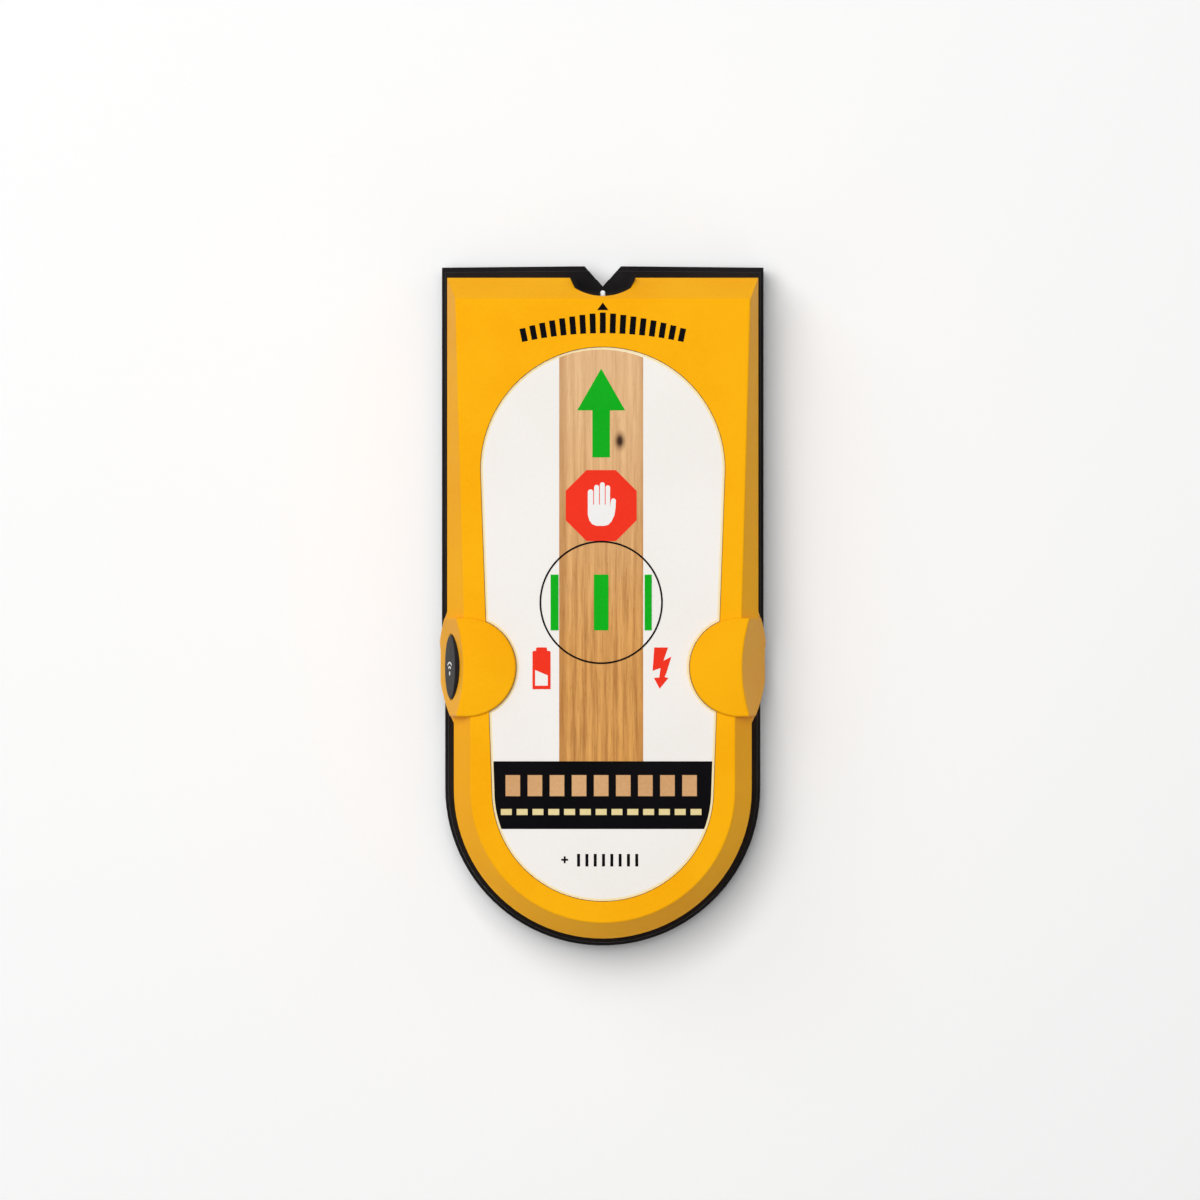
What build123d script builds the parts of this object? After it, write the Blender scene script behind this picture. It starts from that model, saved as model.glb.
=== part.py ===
"""Stud finder: a hand-held wall scanner, laid on its back with its marking notch towards +Y.

Millimetres. +Z runs out of the front face, X = 0 is the middle plane and Z = 0 is the underside of
the glide pads, which the tool rests on and slides along the wall.
"""
from math import cos, radians, sin
import os

from build123d import *

os.makedirs("parts", exist_ok=True)

# ---- driving sizes: outlines seen from the front -------------------------------------------------
TAIL_Y = -45.5            # centre of every round tail outline
WAIST_RUN = 6.0           # under the grips, the sides step in over twice this length
BASE_HALF = 40.2          # rear base, half width at the head
BASE_TAIL = 39.4          # rear base, radius of the tail
BASE_TOP = 84.6           # rear base, head edge at the corners
BASE_CROWN = 0.4          # rise of the head edge towards its middle
TIER_SIDE = 0.8           # outer step of the base, along the sides
TIER_TOP = 1.25           # outer step of the base, along the head
TIER_DROP = 1.3           # the outer step lies this far below the seam
RIM_SIDE = 1.65            # base left showing beside the case, at the head corners
RIM_TAIL = 2.5
RIM_TOP = 3.25
BEVEL_SIDE = 2.15          # width of the sloped bevel, at the head corners
BEVEL_TAIL = 4.3
BEVEL_TOP = 5.55
FACE_TAPER = 2.4          # the flat face narrows by this much from the head to the grips
BAND_ARCH = 6.3           # flat band between bevel and window, beside the head arch
BAND_TAIL = 5.3
BAND_TOP = 11.95

# ---- driving sizes: heights ----------------------------------------------------------------------
PAD_T = 0.8               # glide pads
FLOOR_T = 2.6             # floor of the base
SEAM_Z = 12.5             # joint between base and case
FACE_Z = 31.0             # flat front face
BEVEL_H = 7.0             # height of the sloped bevel
ROOF_T = 3.0              # front wall of the case
WINDOW_SINK = 0.5         # window lies this far below the face
WINDOW_T = 1.6
DIFFUSER_T = 0.5

# ---- walls, clearances and edge rounds -----------------------------------------------------------
CASE_WALL = 2.0
BASE_WALL = 3.0
SLIP = 0.15               # gap round a piece that is set into a pocket
RUN = 0.3                 # gap between curved faces that move past each other
TOUCH = 0.05              # gap between flat faces that meet in motion, and round a shank
PART_GAP = 0.3            # gap between fixed pieces that stand side by side
LIP_T = 1.2               # locating lip of the case inside the base
LIP_DEPTH = 1.8
LIP_ROOT = 2.0            # the lip is joined to the case wall over this height
EDGE_ROUND = 0.5
SEAM_ROUND = 0.25
FOOT_ROUND = 1.2

# ---- grips, dished side faces and push button ----------------------------------------------------
GRIP_Y = -15.1
GRIP_R = 12.2
GRIP_INSET = 6.6          # centre of the grip, in from the base's half width
GRIP_OUT = 0.8            # the bowed side stands out of the base by this much
BOW_R = 32.0              # radius of the bowed outer side
BOW_SHIFT = 1.8           # middle of the bowed side, from the grip's middle towards the head
GRIP_RISE = 1.6           # crown of the grip above the face
DOME_R = 90.0
GRIP_WALL = 2.2
DISH_INSET = 5.4          # the dished face meets the front face this far inside the half width
DISH_TILT = 17.1          # lean of the dished face from upright
DISH_R = 48.0
BUTTON_DROP = 6.8         # middle of the button below the front face
BUTTON_END = 4.2          # grip left beyond each end of the button
BUTTON_HALF_H = 4.7
BUTTON_PROUD = 1.0        # flat outer face of the button above the deepest line of the dish
BUTTON_TRAVEL = 0.8
FLANGE_W = 1.0            # flange beyond the button's outline
FLANGE_T = 1.3
CAP_DEPTH = 2.5           # inner end of the button cap, in from where the dish starts
STEM_HALF = 2.0
SWITCH_BACK = 2.3         # outer face of the switch behind the button cap
SWITCH_DEPTH = 3.6
SWITCH_HALF = 3.0
SWITCH_AXIS_H = 2.3       # height of the plunger above its board
PLUNGER_R = 1.75
PLUNGER_OUT = 1.4

# ---- marking notch and pointer -------------------------------------------------------------------
NOTCH_HALF = 4.6          # half width of the V at the head edge
NOTCH_DEPTH = 5.35
GUIDE_HALF = 8.0
GUIDE_DEPTH = 4.65        # deepest point of the scallop, in from the case's head edge
GUIDE_FOOT_HALF = 6.8
GUIDE_FOOT_DEPTH = 2.7
GUIDE_WALL = 0.9
GUIDE_FLOOR = 3.0
GUIDE_SINK = 4.0          # top of the guide's wall below the front face
PIPE_R = 0.65

# ---- circuit boards ------------------------------------------------------------------------------
BOARD_T = 1.6
BOARD_ROUND = 2.0
BUTTON_ROOM = 0.7         # between the board's edge and the pressed button
TAB_HALF = 6.0
TAB_ROOM = 1.75           # between the board's tab and the wall behind the guide
SENSOR_T = 1.2
SENSOR_SHORT = 1.3        # the sensor board stops this far short of the main board
STANDOFF = 1.2
COPPER_T = 0.2
COPPER_W = 14.0
COPPER_L = 50.0
COPPER_PITCH = 16.0
COPPER_Y = 35.0
SCREW_INSET = 3.0         # board screws, in from the board's side edge
SCREW_TOP = 5.8           # head row of board screws, in from the board's head edge
SCREW_ROWS = 58.0
SCREW_R = 0.95
SCREW_HEAD_R = 1.8
SCREW_HEAD_T = 1.4
SCREW_LENGTH = 4.0
POST_R = 2.6
CHIP = 10.0
CHIP_T = 1.4
CHIP_PLACE = (12.0, 26.0)
CHIP_EDGE = 0.3
BUZZER_R = 6.0
BUZZER_T = 6.0
BUZZER_PORT_R = 1.2
BUZZER_PORT_DEPTH = 1.5
BUZZER_PLACE = (-16.0, 26.0)
PASSIVE = (2.0, 1.25, 0.9)
PASSIVE_PITCH = (5.0, 4.0)
PASSIVE_COUNT = (4, 3)
PASSIVE_PLACE = (12.0, 43.0)
LINK_PLACE = (20.0, -14.0)
LINK_BODY = 2.5
LINK_PINS = 6
LINK_PIN = 0.64

# ---- case screws ---------------------------------------------------------------------------------
HEAD_SCREW_IN = 6.6       # head pair, in from the case's side
HEAD_SCREW_DOWN = 8.1     # head pair, in from the case's head edge
TAIL_SCREW_X = 26.0
TAIL_SCREW_DOWN = 8.5     # tail pair, beyond the tail's centre
BOSS_R = 3.4
CASE_SCREW_R = 1.4
CASE_HEAD_R = 2.6
CASE_HEAD_T = 1.8
CASE_SEAT_Z = 4.8
CASE_SCREW_LENGTH = 19.2
PILOT_SPARE = 1.0         # the pilot hole runs past the screw's tip
DRIVE_R = 0.7

# ---- lamps and light wells -----------------------------------------------------------------------
WELL_HALF = 19.5          # opening in the front wall behind the window
WELL_TOP_BAND = 3.75      # ledge under the window's arch
WELL_LAP = 1.5            # the opening runs past the board's tail edge
LAMP = 3.0
LAMP_T = 1.6
ARROW_DOWN = 16.25        # middle of the arrow, below the window's highest point
ARROW_WELL = (13.0, 22.0)
ARROW_LAMPS = (4.0, -6.0)
STOP_DOWN = 39.05
STOP_WELL_R = 9.2
BARS_Y = 0.9
BAR_X = 11.8
BAR_WELL = (4.4, 14.5)
WARNING_X = 15.0
WARNING_Y = -15.7
WARNING_WELL = (6.4, 10.6)

# ---- battery bay ---------------------------------------------------------------------------------
CELL_W = 26.5
CELL_L = 46.4
CELL_H = 17.5
CELL_DOWN = 28.4          # battery's closed end, beyond the tail's centre
CELL_ROUND = 2.5
TERMINAL_T = 2.1
TERMINAL_PITCH = 12.7
STUD_R = 2.9
SOCKET_R = 4.2
SNAP_T = 4.0
SNAP_BACK = 1.2           # thickness of the clip behind its contacts
SNAP_ROUND = 3.0
SNAP_IN = 0.65            # clip's side, in from the battery's side
SNAP_HALF_H = 6.5
BAY_SIDE = 0.75           # room on each side of the battery
BAY_END = 0.6             # room behind the battery
BAY_TOP = 0.4             # room above the battery
BAY_WALL = 1.5
BAY_BOARD_GAP = 0.45      # between the bay and the main board
DOOR_T = 1.4
DOOR_LAP = 1.7            # the door overlaps its opening by this much
CHEEK = 1.15              # floor left round each hinge pin, towards the door
CHEEK_ROOM = 0.8          # between that floor and the turning door
DOOR_ROUND = 1.0
FOAM_T = 2.2
FOAM_HALF = 8.8
FOAM_END = 6.0
HINGE_R = 1.3
HINGE_PIN_R = 0.7
HINGE_HALF = 12.0
PIN_LENGTH = 2.2
TAB_HALF_W = 5.0          # upright tab at the door's free end
TAB_T = 1.2
TAB_RISE = 3.0
RIDGES = 4                # finger grooves in the door
RIDGE_PITCH = 1.8
RIDGE_W = 0.8
RIDGE_L = 14.0
RIDGE_DEPTH = 0.4
RIDGE_IN = 6.0
SCOOP_R = 9.1             # finger scoop beside the door's free end
SCOOP_DEPTH = 1.3
WIRE_R = 0.7
WIRE_X = 4.0
WIRE_BEND = 4.0
WIRE_OUT = 1.5            # straight run past the bay before the bend

# ---- glide pads ----------------------------------------------------------------------------------
PAD_X = 27.0
PAD_W = 8.0
PAD_Y0 = -40.0
PAD_END = 18.6            # in from the base's head edge

# ---- worked out from the sizes above -------------------------------------------------------------
CASE_HALF = BASE_HALF - RIM_SIDE
CASE_TAIL = BASE_TAIL - RIM_TAIL
CASE_TOP = BASE_TOP - RIM_TOP
FACE_HALF = CASE_HALF - BEVEL_SIDE
FACE_TAIL = CASE_TAIL - BEVEL_TAIL
FACE_TOP = CASE_TOP - BEVEL_TOP
WINDOW_ARCH = FACE_HALF - BAND_ARCH
WINDOW_TAIL = FACE_TAIL - BAND_TAIL
WINDOW_TOP = FACE_TOP - BAND_TOP
WINDOW_ARCH_Y = WINDOW_TOP - WINDOW_ARCH
BASE_Z = PAD_T
FLOOR_Z = BASE_Z + FLOOR_T
BEVEL_Z = FACE_Z - BEVEL_H
ROOF_Z = FACE_Z - ROOF_T
WINDOW_Z = FACE_Z - WINDOW_SINK - WINDOW_T
GRIP_X = BASE_HALF - GRIP_INSET
GRIP_REACH = BASE_HALF + GRIP_OUT
GRIP_TOP = FACE_Z + GRIP_RISE
DISH_X = BASE_HALF - DISH_INSET
BUTTON_Z = FACE_Z - BUTTON_DROP
BUTTON_HALF_L = GRIP_R - BUTTON_END
CAP_X = DISH_X - CAP_DEPTH
SWITCH_X = SWITCH_BACK - CAP_X
BOARD_TOP = BUTTON_Z - SWITCH_AXIS_H
BOARD_Z = BOARD_TOP - BOARD_T
BOARD_HALF = CAP_X - BUTTON_TRAVEL - BUTTON_ROOM
SENSOR_HALF = BOARD_HALF + EDGE_ROUND
SENSOR_Z = FLOOR_Z + STANDOFF
SENSOR_TOP = SENSOR_Z + SENSOR_T
HEAD_X = CASE_HALF - HEAD_SCREW_IN
HEAD_Y = CASE_TOP - HEAD_SCREW_DOWN
TAIL_SCREW_Y = TAIL_Y - TAIL_SCREW_DOWN
CASE_SCREWS = [(side * x, y) for x, y in ((HEAD_X, HEAD_Y), (TAIL_SCREW_X, TAIL_SCREW_Y))
               for side in (-1, 1)]
CASE_SCREW_TIP = CASE_SEAT_Z + CASE_SCREW_LENGTH
NOTCH_APEX = BASE_TOP + BASE_CROWN - NOTCH_DEPTH
GUIDE_Y = CASE_TOP - GUIDE_DEPTH
GUIDE_FOOT_Y = CASE_TOP - GUIDE_FOOT_DEPTH
GUIDE_TOP = FACE_Z - GUIDE_SINK
NOTCH_BLOCK_HALF = GUIDE_HALF + CASE_WALL
NOTCH_BLOCK_Y = GUIDE_Y - CASE_WALL
BLOCK_TOP_Y = CASE_TOP - BEVEL_TOP * (ROOF_Z - BEVEL_Z) / BEVEL_H - CASE_WALL / 2
PIPE_Z = BOARD_TOP + LAMP / 2
CELL_Y0 = TAIL_Y - CELL_DOWN
CELL_Y1 = CELL_Y0 + CELL_L
CELL_Z = BASE_Z + DOOR_T + FOAM_T
CELL_MID_Z = CELL_Z + CELL_H / 2
SNAP_Y = CELL_Y1 + SLIP
SNAP_HALF_W = CELL_W / 2 - SNAP_IN
BAY_HALF = CELL_W / 2 + BAY_SIDE
BAY_Y0 = CELL_Y0 - BAY_END
BAY_Y1 = SNAP_Y + SNAP_T + BAY_END
BAY_Z1 = CELL_Z + CELL_H + BAY_TOP
BOARD_Y0 = BAY_Y1 + BAY_WALL + BAY_BOARD_GAP
BOARD_Y1 = HEAD_Y - BOSS_R - PART_GAP
TAB_Y = NOTCH_BLOCK_Y - TAB_ROOM
SENSOR_Y0 = BOARD_Y0 + STEM_HALF
SENSOR_Y1 = BOARD_Y1 - SENSOR_SHORT
BOARD_SCREW_X = BOARD_HALF - SCREW_INSET
BOARD_SCREW_Y = BOARD_Y1 - SCREW_TOP
BOARD_SCREWS = [(x, y) for x in (-BOARD_SCREW_X, BOARD_SCREW_X)
                for y in (BOARD_SCREW_Y, BOARD_SCREW_Y - SCREW_ROWS)]
WELL_Y0 = BOARD_Y0 - WELL_LAP
WELL_Y1 = WINDOW_TOP - WELL_TOP_BAND
ARROW_Y = WINDOW_TOP - ARROW_DOWN
STOP_Y = WINDOW_TOP - STOP_DOWN
BAR_PLACES = [(-BAR_X, BARS_Y), (0, BARS_Y), (BAR_X, BARS_Y)]
WARNING_PLACES = [(-WARNING_X, WARNING_Y), (WARNING_X, WARNING_Y)]
TARGET_LAMPS = [(0, ARROW_Y + rise) for rise in ARROW_LAMPS] + BAR_PLACES
WARNING_LAMPS = [(0, STOP_Y)] + WARNING_PLACES
DOOR_HALF = BAY_HALF + DOOR_LAP
DOOR_Y0 = BAY_Y0 - SLIP
DOOR_Y1 = BAY_Y1 + DOOR_LAP
HINGE_Y = DOOR_Y0 - CHEEK_ROOM - CHEEK
HINGE_Z = BASE_Z + HINGE_R
WIRE_Z = CELL_MID_Z
WIRE_Y = BAY_Y1 + BAY_WALL + WIRE_BEND + WIRE_OUT
PAD_Y1 = BASE_TOP - PAD_END


# ---- shapes used more than once ------------------------------------------------------------------
def tail_face(half: float, tail: float, top: float, crown: float = 0.0, taper: float = 0.0,
              mode: Mode = Mode.ADD):
    """Add or cut a face with a square head, a waist under the grips and a round tail."""
    waist = half - taper
    low = GRIP_Y - WAIST_RUN
    high = GRIP_Y + WAIST_RUN
    with BuildLine() as outline:
        Polyline((-tail, TAIL_Y), (-tail, low), (-waist, high), (-half, top), (0, top + crown),
                 (half, top), (waist, high), (tail, low), (tail, TAIL_Y))
        ThreePointArc((tail, TAIL_Y), (0, TAIL_Y - tail), (-tail, TAIL_Y))
    make_face(outline.edges(), mode=mode)


def window_face(grow: float = 0.0):
    """Add the label window's face, with an arch at both ends, grown outwards by a gap."""
    arch = WINDOW_ARCH + grow
    tail = WINDOW_TAIL + grow
    with BuildLine() as outline:
        Line((-tail, TAIL_Y), (-arch, WINDOW_ARCH_Y))
        ThreePointArc((-arch, WINDOW_ARCH_Y), (0, WINDOW_ARCH_Y + arch), (arch, WINDOW_ARCH_Y))
        Line((arch, WINDOW_ARCH_Y), (tail, TAIL_Y))
        ThreePointArc((tail, TAIL_Y), (0, TAIL_Y - tail), (-tail, TAIL_Y))
    make_face(outline.edges())


def scallop_face(grow: float = 0.0):
    """Add the notch guide's face: straight sides and a shallow round foot, open to the head."""
    side = GUIDE_HALF + grow
    foot = GUIDE_FOOT_HALF + grow
    with BuildLine() as outline:
        Polyline((-foot, GUIDE_FOOT_Y), (-side, CASE_TOP), (side, CASE_TOP), (foot, GUIDE_FOOT_Y))
        ThreePointArc((foot, GUIDE_FOOT_Y), (0, GUIDE_Y - grow), (-foot, GUIDE_FOOT_Y))
    make_face(outline.edges())


def notch_face():
    """Add the V of the marking notch, running out past the head edge."""
    slope = NOTCH_HALF / (BASE_TOP + BASE_CROWN - NOTCH_APEX)
    out = 2.0
    wide = NOTCH_HALF + slope * out
    with BuildLine() as outline:
        Polyline((0, NOTCH_APEX), (wide, BASE_TOP + BASE_CROWN + out),
                 (-wide, BASE_TOP + BASE_CROWN + out), (0, NOTCH_APEX))
    make_face(outline.edges())


def block(x0: float, x1: float, y0: float, y1: float, z0: float, z1: float, mode: Mode = Mode.ADD):
    """Add or cut a box given by its limits."""
    with Locations(((x0 + x1) / 2, (y0 + y1) / 2, (z0 + z1) / 2)):
        Box(x1 - x0, y1 - y0, z1 - z0, mode=mode)


def pillar(places: list, radius: float, z0: float, z1: float, mode: Mode = Mode.ADD):
    """Add or cut upright round pillars between two heights."""
    with Locations(*[(x, y, z0) for x, y in places]):
        Cylinder(radius, z1 - z0, align=(Align.CENTER, Align.CENTER, Align.MIN), mode=mode)


def dish(side: int, offset: float, mode: Mode):
    """Use the leaning cylinder of a dished side face; a positive offset moves it into the tool."""
    lean = side * DISH_TILT
    centre_x = DISH_X + DISH_R * cos(radians(DISH_TILT))
    centre_z = FACE_Z + DISH_R * sin(radians(DISH_TILT))
    with Locations(Location((side * centre_x, GRIP_Y, centre_z), (0, -lean, 0))):
        Cylinder(DISH_R + offset, 3 * FACE_Z, mode=mode)


def oval_plane(x: float) -> Plane:
    """Plane across the push button's travel, facing out of the -X side."""
    return Plane(origin=(x, GRIP_Y, BUTTON_Z), x_dir=(0, 1, 0), z_dir=(-1, 0, 0))


# ---- grip: outer envelope and hollow, on the +X side ---------------------------------------------
with BuildPart() as grip_envelope:
    with BuildSketch(Plane.XY.offset(SEAM_Z)):
        with Locations((GRIP_X, GRIP_Y)):
            Circle(GRIP_R)
            Rectangle(GRIP_REACH - GRIP_X, 2 * GRIP_R, align=(Align.MIN, Align.CENTER))
        with Locations((GRIP_REACH - BOW_R, GRIP_Y + BOW_SHIFT)):
            Circle(BOW_R, mode=Mode.INTERSECT)
    extrude(amount=GRIP_TOP - SEAM_Z)
    with Locations((GRIP_X - GRIP_R / 4, GRIP_Y, GRIP_TOP - DOME_R)):
        Sphere(DOME_R, mode=Mode.INTERSECT)
    dish(1, 0, Mode.SUBTRACT)
    dished_face = grip_envelope.faces().filter_by(GeomType.CYLINDER).filter_by(
        lambda face: abs(face.radius - DISH_R) < TOUCH)
    fillet(dished_face.edges() + grip_envelope.faces().sort_by(Axis.Z)[-1].edges(), EDGE_ROUND)

with BuildPart() as grip_flare:
    with BuildSketch(Plane.XY.offset(SEAM_Z)):
        with Locations((GRIP_X, GRIP_Y)):
            Rectangle(GRIP_REACH - GRIP_X, 2 * BOW_R, align=(Align.MIN, Align.CENTER))
        with Locations((GRIP_REACH - BOW_R, GRIP_Y + BOW_SHIFT)):
            Circle(BOW_R, mode=Mode.INTERSECT)
    extrude(amount=BEVEL_Z - SEAM_Z)
    with Locations(Location((DISH_X, GRIP_Y, FACE_Z), (0, -DISH_TILT, 0))):
        Box(BOW_R, 3 * BOW_R, 3 * FACE_Z, align=(Align.MIN, Align.CENTER, Align.CENTER),
            mode=Mode.SUBTRACT)

with BuildPart() as grip_hollow:
    with BuildSketch(Plane.XY.offset(SEAM_Z)):
        with Locations((GRIP_X, GRIP_Y)):
            Circle(GRIP_R - GRIP_WALL)
            Rectangle(GRIP_REACH - GRIP_X, 2 * (GRIP_R - GRIP_WALL), align=(Align.MIN, Align.CENTER))
        with Locations((GRIP_REACH - BOW_R, GRIP_Y + BOW_SHIFT)):
            Circle(BOW_R - GRIP_WALL, mode=Mode.INTERSECT)
    extrude(amount=GRIP_TOP - GRIP_WALL - SEAM_Z)
    dish(1, GRIP_WALL, Mode.SUBTRACT)

# ---- front case ----------------------------------------------------------------------------------
with BuildPart() as front_case:
    with BuildSketch(Plane.XY.offset(SEAM_Z)):
        tail_face(CASE_HALF, CASE_TAIL, CASE_TOP)
    extrude(amount=BEVEL_Z - SEAM_Z)
    with BuildSketch(Plane.XY.offset(BEVEL_Z)):
        tail_face(CASE_HALF, CASE_TAIL, CASE_TOP)
    with BuildSketch(Plane.XY.offset(FACE_Z)):
        tail_face(FACE_HALF, FACE_TAIL, FACE_TOP, taper=FACE_TAPER)
    loft(ruled=True)
    fillet(front_case.faces().sort_by(Axis.Z)[-1].edges(), EDGE_ROUND)
    add(grip_envelope.part)
    mirror(grip_envelope.part, about=Plane.YZ)
    add(grip_flare.part)
    mirror(grip_flare.part, about=Plane.YZ)
    dish(1, 0, Mode.SUBTRACT)
    dish(-1, 0, Mode.SUBTRACT)
    # hollow: straight walls, then the same slope as the bevel
    with BuildSketch(Plane.XY.offset(SEAM_Z)):
        tail_face(CASE_HALF - CASE_WALL, CASE_TAIL - CASE_WALL, CASE_TOP - CASE_WALL)
    extrude(amount=BEVEL_Z - 1 - SEAM_Z, mode=Mode.SUBTRACT)
    with BuildSketch(Plane.XY.offset(BEVEL_Z - 1)):
        tail_face(CASE_HALF - CASE_WALL, CASE_TAIL - CASE_WALL, CASE_TOP - CASE_WALL)
    with BuildSketch(Plane.XY.offset(ROOF_Z)):
        tail_face(FACE_HALF - CASE_WALL, FACE_TAIL - CASE_WALL, FACE_TOP - CASE_WALL, taper=FACE_TAPER)
    loft(ruled=True, mode=Mode.SUBTRACT)
    add(grip_hollow.part, mode=Mode.SUBTRACT)
    mirror(grip_hollow.part, about=Plane.YZ, mode=Mode.SUBTRACT)
    # window pocket with its ledge, and the light opening
    with BuildSketch(Plane.XY.offset(WINDOW_Z)):
        window_face(SLIP)
        with Locations((GRIP_X, GRIP_Y), (-GRIP_X, GRIP_Y)):
            Circle(GRIP_R, mode=Mode.SUBTRACT)
    extrude(amount=GRIP_TOP - WINDOW_Z, mode=Mode.SUBTRACT)
    block(-WELL_HALF, WELL_HALF, WELL_Y0, WELL_Y1, ROOF_Z - 1, WINDOW_Z, Mode.SUBTRACT)
    # locating lip, left out where the base is solid round the marking notch
    with BuildSketch(Plane.XY.offset(SEAM_Z - LIP_DEPTH)):
        inset = BASE_WALL + SLIP
        tail_face(BASE_HALF - inset, BASE_TAIL - inset, CASE_TOP - SLIP)
        inset = BASE_WALL + SLIP + LIP_T
        tail_face(BASE_HALF - inset, BASE_TAIL - inset, CASE_TOP - SLIP - LIP_T, mode=Mode.SUBTRACT)
    extrude(amount=LIP_DEPTH + LIP_ROOT)
    block(-NOTCH_BLOCK_HALF - SLIP, NOTCH_BLOCK_HALF + SLIP, NOTCH_BLOCK_Y - SLIP, BASE_TOP,
          SEAM_Z - LIP_DEPTH, SEAM_Z, Mode.SUBTRACT)
    # screw bosses and board posts
    pillar(CASE_SCREWS, BOSS_R, SEAM_Z, ROOF_Z)
    pillar(CASE_SCREWS, CASE_SCREW_R + TOUCH, SEAM_Z, CASE_SCREW_TIP + PILOT_SPARE, Mode.SUBTRACT)
    pillar(BOARD_SCREWS, POST_R, BOARD_TOP, ROOF_Z)
    pillar(BOARD_SCREWS, SCREW_R + TOUCH, BOARD_TOP, BOARD_TOP + SCREW_LENGTH, Mode.SUBTRACT)
    # block behind the notch guide, the guide's pocket and the pointer's bore
    block(-NOTCH_BLOCK_HALF, NOTCH_BLOCK_HALF, NOTCH_BLOCK_Y, CASE_TOP - CASE_WALL / 2, SEAM_Z, BEVEL_Z)
    block(-NOTCH_BLOCK_HALF, NOTCH_BLOCK_HALF, NOTCH_BLOCK_Y, BLOCK_TOP_Y, SEAM_Z, ROOF_Z)
    with BuildSketch(Plane.XY.offset(SEAM_Z)):
        scallop_face(SLIP)
    extrude(amount=FACE_Z - SEAM_Z, mode=Mode.SUBTRACT)
    with Locations(Location((0, GUIDE_Y, PIPE_Z), (90, 0, 0))):
        Cylinder(PIPE_R + TOUCH, 6 * CASE_WALL, mode=Mode.SUBTRACT)
    # opening for the push button, on the -X side
    with BuildSketch(oval_plane(-DISH_X + GRIP_WALL)):
        Ellipse(BUTTON_HALF_L + RUN, BUTTON_HALF_H + RUN)
    extrude(amount=GRIP_R, mode=Mode.SUBTRACT)
front_case.part.label = "front_case"
export_step(front_case.part, "parts/front_case.step")

# ---- rear base -----------------------------------------------------------------------------------
with BuildPart() as rear_base:
    with BuildSketch(Plane.XY.offset(BASE_Z)):
        tail_face(BASE_HALF, BASE_TAIL, BASE_TOP, BASE_CROWN)
    extrude(amount=SEAM_Z - TIER_DROP - BASE_Z)
    fillet(rear_base.faces().sort_by(Axis.Z)[0].edges(), FOOT_ROUND)
    fillet(rear_base.faces().sort_by(Axis.Z)[-1].edges(), SEAM_ROUND)
    with BuildSketch(Plane.XY.offset(SEAM_Z - TIER_DROP)):
        tail_face(BASE_HALF - TIER_SIDE, BASE_TAIL - TIER_SIDE, BASE_TOP - TIER_TOP, BASE_CROWN)
    extrude(amount=TIER_DROP)
    fillet(rear_base.faces().sort_by(Axis.Z)[-1].edges(), SEAM_ROUND)
    with BuildSketch(Plane.XY.offset(FLOOR_Z)):
        tail_face(BASE_HALF - BASE_WALL, BASE_TAIL - BASE_WALL, BASE_TOP - BASE_WALL)
    extrude(amount=SEAM_Z - FLOOR_Z, mode=Mode.SUBTRACT)
    # block round the marking notch
    block(-NOTCH_BLOCK_HALF, NOTCH_BLOCK_HALF, NOTCH_BLOCK_Y, BASE_TOP - BASE_WALL, FLOOR_Z, SEAM_Z)
    with BuildSketch(Plane.XY):
        notch_face()
    extrude(amount=FACE_Z, mode=Mode.SUBTRACT)
    # battery bay
    block(-BAY_HALF - BAY_WALL, BAY_HALF + BAY_WALL, BAY_Y0 - BAY_WALL, BAY_Y1 + BAY_WALL,
          FLOOR_Z, BAY_Z1 + BAY_WALL)
    block(-BAY_HALF, BAY_HALF, BAY_Y0, BAY_Y1, 0, BAY_Z1, Mode.SUBTRACT)
    block(-DOOR_HALF - SLIP, DOOR_HALF + SLIP, HINGE_Y + CHEEK, DOOR_Y1 + SLIP, 0, BASE_Z + DOOR_T + SLIP,
          Mode.SUBTRACT)
    with Locations((0, BAY_Y1 + BAY_WALL / 2, WIRE_Z)):
        Box(2 * WIRE_X + 4 * WIRE_R, 2 * BAY_WALL, 4 * WIRE_R, mode=Mode.SUBTRACT)
    # hinge groove with a pin socket at each end
    with Locations(Location((0, HINGE_Y, HINGE_Z), (0, 90, 0))):
        Cylinder(HINGE_R + RUN, 2 * (HINGE_HALF + RUN), mode=Mode.SUBTRACT)
        Cylinder(HINGE_PIN_R + TOUCH, 2 * (HINGE_HALF + PIN_LENGTH + RUN), mode=Mode.SUBTRACT)
    block(-HINGE_HALF - RUN, HINGE_HALF + RUN, HINGE_Y - HINGE_R - RUN, BAY_Y0, 0, HINGE_Z, Mode.SUBTRACT)
    # finger scoop at the free end of the door
    with Locations((0, DOOR_Y1 + SLIP, BASE_Z + SCOOP_DEPTH - SCOOP_R)):
        Sphere(SCOOP_R, mode=Mode.SUBTRACT)
    # screw bosses with head pockets, and standoffs of the sensor board
    pillar(CASE_SCREWS, BOSS_R, FLOOR_Z, SEAM_Z)
    pillar(CASE_SCREWS, CASE_SCREW_R + TOUCH, 0, SEAM_Z, Mode.SUBTRACT)
    pillar(CASE_SCREWS, CASE_HEAD_R + TOUCH, 0, CASE_SEAT_Z, Mode.SUBTRACT)
    pillar(BOARD_SCREWS, POST_R, FLOOR_Z, SENSOR_Z)
    pillar(BOARD_SCREWS, SCREW_R + TOUCH, SENSOR_TOP - SCREW_LENGTH, SENSOR_Z, Mode.SUBTRACT)
rear_base.part.label = "rear_base"
export_step(rear_base.part, "parts/rear_base.step")

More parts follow.
